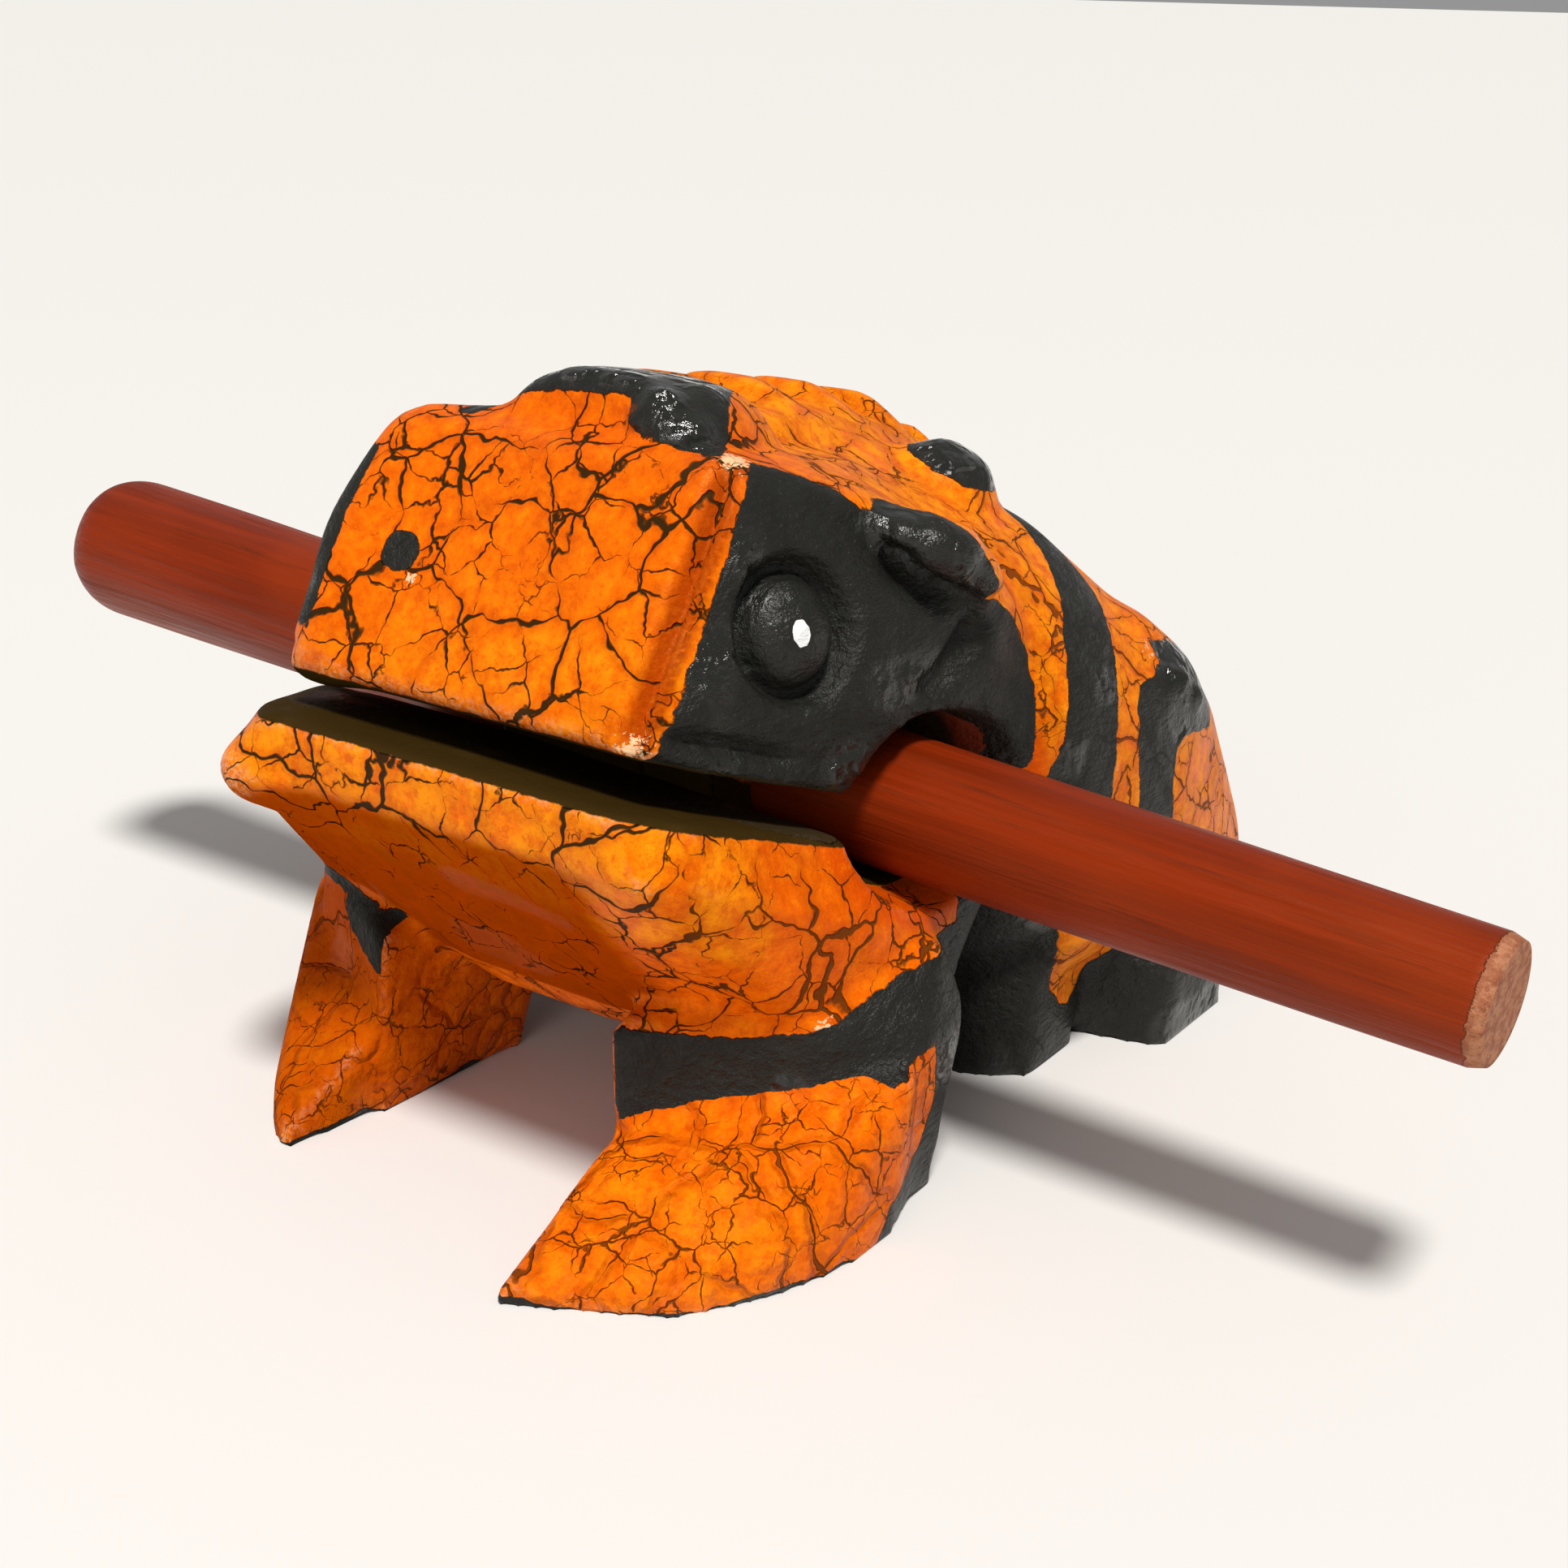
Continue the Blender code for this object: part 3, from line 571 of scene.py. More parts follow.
def paint_body(skin):
    """Stores where each paint lies, as distances in millimetres and shares from 0 to 1."""
    co = skin.co
    x, y, z = co.T
    reach = np.abs(x - MIDDLE)
    left = x > MIDDLE
    behind = behind_face(co)
    front_limit = behind - 1.5 - 1.0 * (1 - ease(reach, 16.7, 17.2))
    head = np.minimum.reduce([inside(HEAD_SIDE, y, z), reach - 14.4, front_limit])
    rounded_edge = np.minimum.reduce([reach - 16.3, 2.5 - behind, z - 43.0, 56.0 - z])
    far_top = 54.6 + 3.0 * ease(-y, 18, 21)
    head = np.where(left, head, np.minimum(np.maximum(head, rounded_edge), far_top - z))
    flank = np.minimum(inside(FLANK_STRIPE, y, z), reach - 12.5)
    knee = np.minimum(inside(KNEE_STRIPE, y, z), reach - 12)
    leg = np.where(left, inside(LEG_BAND, y, z), inside(RIGHT_LEG_BAND, y, z))
    inner_wall = ease(-skin.normal[:, 0] * np.sign(x - MIDDLE), 0.3, 0.6)
    foot_top = ease(skin.normal[:, 2], 0.25, 0.5) * (z < 13) * (y < -22)
    leg = np.minimum(leg, reach - 12.4) - 3 * inner_wall * (y < -14) - 4 * foot_top
    bar_x, bar_z = np.array(BAR_EDGE).T
    bar_end = 13.3 - 0.66 * (y + 17.2)
    bar = np.minimum.reduce([z - np.interp(x, bar_x, bar_z), y + 22.0, -10.2 - y, bar_end - x, x + 10.0])
    lump_at = np.stack([reach - 15.2, y - 11.9, z - np.where(left, 54.6, 51.0)])
    lump = np.where(left, 4.7, 4.0) - np.linalg.norm(lump_at, axis=0)
    from_nostril = co - np.array(NOSTRIL)
    nostril = 1.75 - np.hypot(from_nostril[:, 0], 0.53 * from_nostril[:, 1] + 0.85 * from_nostril[:, 2])
    nostril = np.where(behind < 3, nostril, -5)
    toes = np.where((y < -20) & (reach > 11), 0.35 - z + 1.0 * smooth_random(co, 3.0, 9), -5)
    black = np.maximum.reduce([head, flank, knee, leg, bar, lump, nostril, toes])

    # Hollows: the sound hole and the mouth cut are painted near black, which is painted shade, with a dark base
    # coat as well in the mouth cut.
    rear_rim = ease(y, -3, 1) * ease(z, 31, 34) * (hole_reach(co) < 1.06)
    hole = np.minimum(6.8 * (1.25 - hole_reach(co)), 24.2 + 2.5 * rear_rim - reach)
    edge = mouth_edge(y)
    jaw_top = 36.5 - 0.328 * (y + 38.5)
    slit = np.minimum.reduce([z - jaw_top + 0.35, edge + 0.3 - z, 27 - reach])
    hollow = np.maximum(hole, np.where(y < -12, slit, -5))

    skin.store("black", np.clip(black, -6, 6))
    skin.store("hollow", np.clip(hollow, -6, 6))
    # Painted highlight: a white glint on each eye dome.
    eye = [0.95 - np.linalg.norm((co - spot) * [1.0, 1.25, 0.86], axis=1) for spot in both_sides(EYE_GLINT)]
    skin.store("painted_eye_glint", np.maximum(*eye))

    low_face = 0.6 * (1 - ease(z - 0.25 * x, 40, 50)) * (z > 38) * (behind < 3)
    lip = ease(jaw_top - z, -0.5, 0.5) * (1 - ease(jaw_top - z, 9.0, 11.0)) * (1 - ease(y, -32, -28))
    toe_tips = (z < 9) * (1 - ease(y, -36, -30))
    # Painted light: the body behind the sound hole, also where the stick shades it, gets yellower paint so that
    # it reads brighter.
    flank_painted_light = ease(y, -18, -8) * ease(z, 1, 6)
    soft = np.maximum(0.8 * flank_painted_light, 0.7 * (1 - ease(z, 14, 18)))
    soft = np.maximum(soft, 0.5 * ease(x, 21, 25) * (z < 33))
    skin.store("soft", soft)
    skin.store("yellow", np.clip(lip + 0.35 * toe_tips + flank_painted_light + low_face, 0, 1))
    # Painted shade: faces turned down under the head, and the right front leg under the jaw, get darker, redder
    # paint.
    under = ease(-skin.normal[:, 2], 0.05, 0.6) * (y < -14) * (z > 14)
    shaded_leg = 0.65 * (1 - ease(x, -12, -8)) * (1 - ease(z, 16, 22)) * (1 - ease(y, -22, -18))
    skin.store("painted_shade_below", np.maximum(under * (1 - ease(x, 14, 19)), shaded_leg))
    # Painted light: the rear upper wall of the sound hole, where light reaches in, is red brown instead of the
    # hollow's dark.
    lit_rim = ease(y, -5, -1) * (1 - ease(y, 3, 5)) * ease(z, 30, 33) * ease(reach, 22.0, 23.5)
    skin.store("painted_rim_light", lit_rim)
    hole_rim = (1 - ease(hole_reach(co), 1.25, 1.5)) * ease(reach, 23, 25)
    skin.store("red", np.clip(hole_rim + 0.25 * ease(smooth_random(co, 16, 12), 0.1, 0.7), 0, 1))
    sliver = ease(x - MIDDLE, 16.8, 17.1) * ease(behind, 0.8, 1.2)
    # Painted shade on the groove's wall beside the face's edge, short of the sliver.
    groove_shade_share = ease(x - MIDDLE, 15.0, 15.5) * (1 - sliver) * (1 - ease(behind, 2.6, 3.0))
    groove_shade_share *= (z > 40.0) * (y < -18)
    skin.store("groove", groove_shade_share)
    skin.store("pebble", (1 - ease(z, 11, 14)) * (1 - ease(y, -18, -12)))
    chips = [
        ((-7.2, -30.6, 47.5), 0.75),
        ((16.8, -20.9, 58.4), 1.9), ((18.0, -34.2, 40.2), 1.8), ((30.9, 20.4, 37.0), 1.5),
        ((33.0, 15.0, 31.0), 1.2), ((28.5, -24.0, 16.9), 1.2), ((20.5, -36.5, 32.5), 1.4),
        ((31.2, -15.5, 26.5), 1.2), ((33.2, 11.6, 29.5), 0.8),
    ]
    worn = np.max([1 - np.linalg.norm(co - np.array(spot), axis=1) / size for spot, size in chips], axis=0)
    skin.store("worn", np.clip(worn, -1, 1))
    mean = skin.mean_of_neighbours(skin.co)
    ridge = np.einsum("ij,ij->i", skin.co - mean, skin.normal)[:, None]
    for _ in range(3):
        ridge = 0.5 * ridge + 0.5 * skin.mean_of_neighbours(ridge)
    face_edge = (x - MIDDLE > 14.2) & (z > 40.0) & (behind < 5)
    skin.store("ridge", np.where(face_edge, -1, np.clip(ridge[:, 0] * 12, -1, 1)))
    knee_gloss = 0.8 * np.exp(-(np.linalg.norm(co - [32, 24, 34], axis=1) / 5) ** 2)
    gloss = np.maximum.reduce([ease(bar, 0, 1), ease(lump, 0, 1), knee_gloss])
    ears = both_sides([(24.6, -10.6, 52.9), (29.4, -6, 49.2)])
    ear = np.min([skin.distance(line)[0] for line in ears], axis=0)
    eye = np.min([np.linalg.norm(co - spot, axis=1) for spot in both_sides(EYE_SPOT)], axis=0)
    gloss = gloss + 0.7 * (1 - ease(ear, 1, 3.5)) + 0.2 * (1 - ease(eye, 3.2, 4.4))
    gloss = gloss + 0.6 * ease(smooth_random(co, 5.0, 21), 0.35, 0.65)
    skin.store("gloss", np.clip(gloss, 0, 1))


class Tree:
    """Short ways to add and join nodes."""

    def __init__(self, tree):
        self.tree = tree

    def put(self, value, socket):
        if isinstance(value, bpy.types.NodeSocket):
            self.tree.links.new(value, socket)
        else:
            socket.default_value = value

    def node(self, kind, settings=None, **inputs):
        node = self.tree.nodes.new(kind)
        for key, value in (settings or {}).items():
            setattr(node, key, value)
        for key, value in inputs.items():
            self.put(value, node.inputs[key.replace("_", " ")])
        return node

    def math(self, operation, a, b=0.0, clamp=False):
        node = self.node("ShaderNodeMath", {"operation": operation, "use_clamp": clamp})
        self.put(a, node.inputs[0])
        self.put(b, node.inputs[1])
        return node.outputs[0]

    def span(self, value, low, high, to_low=0.0, to_high=1.0):
        """Changes value's range smoothly, and holds it at both ends."""
        node = self.node("ShaderNodeMapRange", {"interpolation_type": "SMOOTHSTEP"})
        for key, number in (
            ("Value", value), ("From Min", low), ("From Max", high), ("To Min", to_low), ("To Max", to_high)
        ):
            self.put(number, node.inputs[key])
        return node.outputs["Result"]

    def mix(self, share, a, b, blend="MIX"):
        node = self.node("ShaderNodeMix", {"data_type": "RGBA", "blend_type": blend})
        self.put(share, node.inputs["Factor"])
        for value, socket in ((a, node.inputs[6]), (b, node.inputs[7])):
            self.put((*value, 1.0) if isinstance(value, tuple) and len(value) == 3 else value, socket)
        return node.outputs[2]

    def vector(self, operation, a, b=(0, 0, 0)):
        node = self.node("ShaderNodeVectorMath", {"operation": operation})
        self.put(a, node.inputs[0])
        self.put(b, node.inputs[1])
        return node.outputs[0]

    def scaled(self, vector, factor):
        node = self.node("ShaderNodeVectorMath", {"operation": "SCALE"})
        self.put(vector, node.inputs[0])
        self.put(factor, node.inputs["Scale"])
        return node.outputs[0]

    def noise(self, vector, scale, detail=2.0, roughness=0.5):
        node = self.node("ShaderNodeTexNoise", Vector=vector, Scale=scale, Detail=detail, Roughness=roughness)
        return node.outputs

    def attribute(self, name):
        return self.node("ShaderNodeAttribute", {"attribute_name": name}).outputs["Fac"]

    def millimetres(self):
        """Object coordinates in millimetres."""
        return self.scaled(self.node("ShaderNodeTexCoord").outputs["Object"], 1 / MM)


def group_with(name, inputs, outputs):
    """A shader node group with named sockets, and its inner tree, input node and output node."""
    group = bpy.data.node_groups.new(name, "ShaderNodeTree")
    for kind, label, value in inputs:
        socket = group.interface.new_socket(name=label, in_out="INPUT", socket_type=kind)
        if value is not None:
            socket.default_value = value
    for kind, label in outputs:
        group.interface.new_socket(name=label, in_out="OUTPUT", socket_type=kind)
    tree = Tree(group)
    return group, tree, tree.node("NodeGroupInput").outputs, tree.node("NodeGroupOutput").inputs


def crackle_group():
    """Shrinkage cracks: crooked lines that come and go between flakes of paint of about one size."""
    group, t, given, result = group_with(
        "crackle",
        [
            ("NodeSocketVector", "Place", None),
            ("NodeSocketFloat", "Flake", 8.0),
            ("NodeSocketFloat", "Width", 0.4),
            ("NodeSocketFloat", "Share", 0.6),
        ],
        [("NodeSocketFloat", "Crack"), ("NodeSocketFloat", "Near")],
    )
    place, flake, width, share = (given[k] for k in ("Place", "Flake", "Width", "Share"))
    size = t.math("DIVIDE", 1.0, flake)
    bend = t.vector("SUBTRACT", t.noise(place, t.math("MULTIPLY", size, 1.3), 1.0)["Color"], (0.5, 0.5, 0.5))
    jag = t.vector("SUBTRACT", t.noise(place, t.math("MULTIPLY", size, 5.0), 1.0)["Color"], (0.5, 0.5, 0.5))
    moved = t.vector("ADD", place, t.scaled(bend, t.math("MULTIPLY", flake, 0.55)))
    moved = t.vector("ADD", moved, t.scaled(jag, t.math("MULTIPLY", flake, 0.17)))
    cells = t.node("ShaderNodeTexVoronoi", {"feature": "DISTANCE_TO_EDGE"}, Vector=moved, Scale=size)
    away = t.math("MULTIPLY", cells.outputs["Distance"], flake)
    here = t.noise(place, t.math("MULTIPLY", size, 0.9), 1.0)["Fac"]
    rough = t.noise(place, t.math("MULTIPLY", size, 5.0), 2.0)["Fac"]
    amount = t.math("SUBTRACT", t.math("ADD", here, t.math("MULTIPLY", rough, 0.45)), 0.725)
    amount = t.math("ADD", t.math("MULTIPLY", amount, 3.2), share)
    half = t.math("MULTIPLY", t.math("MINIMUM", amount, 1.25), width)
    crack = t.span(t.math("SUBTRACT", half, away), -0.02, 0.10)
    t.put(crack, result["Crack"])
    t.put(t.span(t.math("SUBTRACT", half, away), -1.1, 0.0), result["Near"])
    return group


def body_material(colours):
    """Crackled orange over a dark undercoat, with black bands, hollows in painted shade and dark paint, painted
    shade under the chin and in the face's edge groove, painted light on the flank and the sound hole's rear
    wall, and a painted white glint on each eye.
    """
    material = bpy.data.materials.new("crackled_paint")
    material.use_nodes = True
    material.node_tree.nodes.clear()
    t = Tree(material.node_tree)
    place = t.millimetres()
    crackle = crackle_group()
    paint = t.noise(place, 0.06, 3.0, 0.55)["Fac"]
    mottle = t.noise(place, 0.45, 4.0, 0.65)["Fac"]
    grit = t.noise(place, 2.2, 3.0, 0.7)["Fac"]

    top = t.mix(t.span(paint, 0.45, 0.75, 0.0, 0.6), tuple(colours.orange), tuple(colours.red))
    top = t.mix(t.span(mottle, 0.50, 0.72, 0.0, 0.4), top, tuple(colours.yellow))
    light = t.mix(t.span(mottle, 0.30, 0.6), tuple(colours.orange), tuple(colours.yellow))
    top = t.mix(t.attribute("yellow"), top, light)
    top = t.mix(t.span(grit, 0.56, 0.72, 0.0, 0.35), top, tuple(colours.red))
    top = t.mix(t.attribute("red"), top, tuple(colours.red))
    stipple = t.noise(place, 0.95, 4.0, 0.75)["Fac"]
    top = t.mix(t.span(stipple, 0.44, 0.66, 0.0, 0.60), top, DARK_FLECKS)
    top = t.mix(t.span(stipple, 0.46, 0.30, 0.0, 0.40), top, tuple(colours.yellow))
    # Painted shade under the chin and on the right front leg.
    top = t.mix(t.math("MULTIPLY", t.attribute("painted_shade_below"), 0.9), top, tuple(0.37 * c for c in colours.red))
    # Painted shade in the face's edge groove, under the crackle.
    groove = t.math("MULTIPLY", t.attribute("groove"), t.span(grit, 0.3, 0.6, 0.75, 1.0))
    top = t.mix(groove, top, GROOVE_SHADE)

    def cracks(flake, width, share):
        node = t.node(
            "ShaderNodeGroup", {"node_tree": crackle}, Place=place, Flake=flake, Width=width, Share=share
        )
        return node.outputs["Crack"], node.outputs["Near"]

    soft = t.attribute("soft")
    calm = t.math("SUBTRACT", 1.0, t.math("MULTIPLY", t.attribute("painted_shade_below"), 0.9))
    calm = t.math("SUBTRACT", calm, t.math("MULTIPLY", soft, 0.50), clamp=True)
    large, large_near = cracks(colours.crack_cell / MM, 0.22, t.math("MULTIPLY", calm, 0.47))
    small, small_near = cracks(4.2, 0.14, t.math("MULTIPLY", calm, 0.46))
    pebble, _ = cracks(2.8, 0.11, 0.12)
    pebble = t.math("MULTIPLY", pebble, t.attribute("pebble"))
    crack = t.math("MAXIMUM", t.math("MAXIMUM", large, small), pebble)
    near = t.math("MAXIMUM", large_near, t.math("MULTIPLY", small_near, 0.6))
    burnt = tuple(0.62 * c for c in colours.red)
    top = t.mix(t.math("MULTIPLY", near, 0.45), top, burnt)
    chip_edge = t.math("ADD", t.attribute("worn"), t.math("MULTIPLY", t.math("SUBTRACT", grit, 0.5), 2.4))
    chip = t.span(chip_edge, 0.35, 0.5)
    rubbed = t.math("MULTIPLY", t.span(t.attribute("ridge"), 0.25, 0.9), t.span(grit, 0.42, 0.62))
    top = t.mix(t.math("MULTIPLY", rubbed, 0.45), top, BARE_WOOD)
    top = t.mix(crack, top, t.mix(t.math("MULTIPLY", soft, 0.85), tuple(colours.undercoat), THIN_CRACK))
    top = t.mix(chip, top, BARE_WOOD)

    waver = t.math("MULTIPLY", t.math("SUBTRACT", t.noise(place, 0.7, 3.0, 0.6)["Fac"], 0.5), 0.9)
    black_edge = t.math("ADD", t.attribute("black"), waver)
    black = t.span(black_edge, -0.06, 0.06)
    hollow = t.span(t.math("ADD", t.attribute("hollow"), t.math("MULTIPLY", waver, 0.5)), -0.08, 0.08)
    # Painted highlight: the white glint on each eye.
    white = t.span(t.math("ADD", t.attribute("painted_eye_glint"), t.math("MULTIPLY", waver, 0.15)), -0.03, 0.03)
    charcoal = t.mix(t.span(mottle, 0.3, 0.7), tuple(colours.black), tuple(0.7 * c for c in colours.black))
    charcoal = t.mix(t.math("MULTIPLY", t.span(grit, 0.62, 0.75), 0.35), charcoal, BLACK_DUST)
    colour = t.mix(black, top, charcoal)
    # Hollows in painted shade and dark paint, with painted light on the sound hole's lit rear wall.
    dark = t.mix(t.attribute("painted_rim_light"), HOLLOW_SHADE_AND_PAINT, HOLLOW_RIM_LIGHT)
    colour = t.mix(hollow, colour, dark)
    colour = t.mix(white, colour, EYE_GLINT_COLOUR)

    gloss = t.attribute("gloss")
    black_rough = t.math("SUBTRACT", t.span(mottle, 0.3, 0.7, 0.34, 0.50), t.math("MULTIPLY", gloss, 0.42))
    orange_rough = t.span(mottle, 0.3, 0.7, 0.30, 0.55)
    roughness = t.node("ShaderNodeMix", {"data_type": "FLOAT"})
    t.put(black, roughness.inputs[0])
    t.put(orange_rough, roughness.inputs[2])
    t.put(black_rough, roughness.inputs[3])
    roughness = t.math("ADD", roughness.outputs[0], t.math("MULTIPLY", hollow, 0.3))
    roughness = t.math("ADD", roughness, t.math("MULTIPLY", t.attribute("painted_shade_below"), 0.25))
    roughness = t.math("ADD", roughness, t.math("MULTIPLY", crack, 0.2), clamp=True)

    only_orange = t.math("SUBTRACT", 1.0, black)
    only_orange = t.math("SUBTRACT", only_orange, hollow, clamp=True)
    dip = t.math("ADD", crack, t.math("MULTIPLY", t.math("MULTIPLY", near, near), t.attribute("pebble")))
    deep = t.math("MULTIPLY", t.math("MULTIPLY", dip, -1.2), only_orange)
    blobs = t.span(t.noise(place, 0.32, 2.0)["Fac"], 0.45, 0.75)
    thick = t.math("MULTIPLY", t.math("MULTIPLY", blobs, gloss), 2.5)
    height = t.math("ADD", deep, t.math("MULTIPLY", mottle, 0.55))
    matt = t.math("SUBTRACT", black, gloss, clamp=True)
    brush = t.noise(t.vector("MULTIPLY", place, (1.0, 0.45, 1.0)), 1.1, 4.0, 0.65)["Fac"]
    height = t.math("ADD", height, t.math("MULTIPLY", grit, 0.30))
    height = t.math("ADD", height, t.math("MULTIPLY", t.math("MULTIPLY", brush, matt), 1.5))
    height = t.math("ADD", height, t.math("MULTIPLY", thick, black))
    height = t.math("ADD", height, t.math("MULTIPLY", black, 0.5))
    bump = t.node("ShaderNodeBump", Height=height, Distance=0.00028, Strength=1.0)
    shader = t.node("ShaderNodeBsdfPrincipled", Roughness=roughness, Normal=bump.outputs[0])
    t.put(colour, shader.inputs["Base Color"])
    shine = t.math("ADD", t.span(black, 0.0, 1.0, 0.14, 0.21), t.math("MULTIPLY", gloss, 0.35))
    shine = t.math("SUBTRACT", shine, t.math("MULTIPLY", t.attribute("painted_shade_below"), 0.2), clamp=True)
    t.put(shine, shader.inputs["Specular IOR Level"])
    t.put(t.mix(black, PAINT_SHEEN, BLACK_SHEEN), shader.inputs["Specular Tint"])
    t.tree.links.new(shader.outputs[0], t.node("ShaderNodeOutputMaterial").inputs[0])
    return material


def stick_material(colours):
    """Red brown stain that lies unevenly along the grain, worn to bare wood at the cut end."""
    material = bpy.data.materials.new("stained_stick")
    material.use_nodes = True
    material.node_tree.nodes.clear()
    t = Tree(material.node_tree)
    grain_place = t.node("ShaderNodeAttribute", {"attribute_name": "along_grain"}).outputs["Vector"]
    stretched = t.vector("MULTIPLY", grain_place, (1.0, 1.0, 0.045))
    fibres = t.noise(stretched, 1.6, 5.0, 0.6)["Fac"]
    streaks = t.noise(stretched, 0.45, 3.0, 0.6)["Fac"]
    cloud = t.noise(grain_place, 0.05, 2.0)["Fac"]
    stain = tuple(colours.stain)
    colour = t.mix(t.span(streaks, 0.35, 0.65), stain, tuple(0.7 * c for c in stain))
    colour = t.mix(t.span(cloud, 0.4, 0.7, 0.0, 0.5), colour, LIGHT_STAIN)
    colour = t.mix(t.span(fibres, 0.56, 0.76, 0.0, 0.62), colour, DARK_GRAIN)
    cut = t.attribute("cut_end")
    ragged = t.noise(grain_place, 0.9, 4.0, 0.7)["Fac"]
    bare = t.span(t.math("ADD", cut, t.math("SUBTRACT", ragged, 0.5)), 0.45, 0.55)
    raw = t.mix(t.span(ragged, 0.4, 0.6), tuple(colours.raw), SHADED_WOOD)
    colour = t.mix(bare, colour, raw)
    height = t.math("ADD", t.math("MULTIPLY", fibres, 0.8), t.math("MULTIPLY", streaks, 0.8))
    height = t.math("ADD", height, t.math("MULTIPLY", t.math("MULTIPLY", ragged, bare), 2.0))
    bump = t.node("ShaderNodeBump", Height=height, Distance=0.00022, Strength=1.0)
    rough = t.math("ADD", t.span(fibres, 0.3, 0.7, 0.32, 0.52), t.math("MULTIPLY", bare, 0.3), clamp=True)
    shader = t.node("ShaderNodeBsdfPrincipled", Roughness=rough, Normal=bump.outputs[0])
    t.put(colour, shader.inputs["Base Color"])
    shader.inputs["Specular IOR Level"].default_value = STICK_SPECULAR
    shader.inputs["Specular Tint"].default_value = STICK_SHEEN
    t.tree.links.new(shader.outputs[0], t.node("ShaderNodeOutputMaterial").inputs[0])
    return material


def stick_ends():
    """The thick and thin ends of the stick's axis, in metres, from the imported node's own box."""
    low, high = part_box("striker_stick")
    thick_end = Vector((low.x + STICK_INSET, STICK_THICK_END[0] * MM, STICK_THICK_END[1] * MM))
    thin_end = Vector((high.x - STICK_INSET, STICK_THIN_END[0] * MM, STICK_THIN_END[1] * MM))
    return thick_end, thin_end


def turned_stick_tree():
    """Geometry Nodes: a rod that tapers, is rounded at its thick end and lies between two points."""
    tree = bpy.data.node_groups.new("turned_stick", "GeometryNodeTree")
    for kind, label, value in (
        ("NodeSocketFloat", "Length", 0.15),
        ("NodeSocketFloat", "Thick diameter", 0.0141),
        ("NodeSocketFloat", "Thin diameter", 0.0096),
        ("NodeSocketFloat", "Rounding", 0.0065),
        ("NodeSocketInt", "Around", 72),
        ("NodeSocketInt", "Along", 260),
        ("NodeSocketVector", "Turn", None),
        ("NodeSocketVector", "Middle", None),
    ):
        socket = tree.interface.new_socket(name=label, in_out="INPUT", socket_type=kind)
        if value is not None:
            socket.default_value = value
    tree.interface.new_socket(name="Geometry", in_out="OUTPUT", socket_type="NodeSocketGeometry")
    t = Tree(tree)
    given = t.node("NodeGroupInput").outputs
    rod = t.node("GeometryNodeMeshCylinder", {"fill_type": "TRIANGLE_FAN"}, Radius=1.0)
    t.put(given["Around"], rod.inputs["Vertices"])
    t.put(given["Along"], rod.inputs["Side Segments"])
    rod.inputs["Fill Segments"].default_value = 14
    t.put(given["Length"], rod.inputs["Depth"])
    place = t.node("ShaderNodeSeparateXYZ", Vector=t.node("GeometryNodeInputPosition").outputs[0]).outputs
    share = t.math("ADD", t.math("DIVIDE", place["Z"], given["Length"]), 0.5)
    thick = t.math("MULTIPLY", given["Thick diameter"], 0.5)
    thin = t.math("MULTIPLY", given["Thin diameter"], 0.5)
    radius = t.math("ADD", t.math("MULTIPLY", share, t.math("SUBTRACT", thin, thick)), thick)
    from_end = t.math("MULTIPLY", share, given["Length"])
    short = t.math("SUBTRACT", 1.0, t.math("DIVIDE", from_end, given["Rounding"]), clamp=True)
    round_off = t.math("SQRT", t.math("MAXIMUM", t.math("SUBTRACT", 1.0, t.math("POWER", short, 2.6)), 0.0))
    to_cut = t.math("SUBTRACT", given["Length"], from_end)
    bevel = t.span(to_cut, 0.0, 0.0011, 0.93, 1.0)
    radius = t.math("MULTIPLY", t.math("MULTIPLY", radius, round_off), bevel)
    place_node = t.node("ShaderNodeCombineXYZ")
    t.put(t.math("MULTIPLY", place["X"], radius), place_node.inputs["X"])
    t.put(t.math("MULTIPLY", place["Y"], radius), place_node.inputs["Y"])
    t.put(place["Z"], place_node.inputs["Z"])
    return tree, t, given, rod.outputs["Mesh"], place_node.outputs[0], to_cut


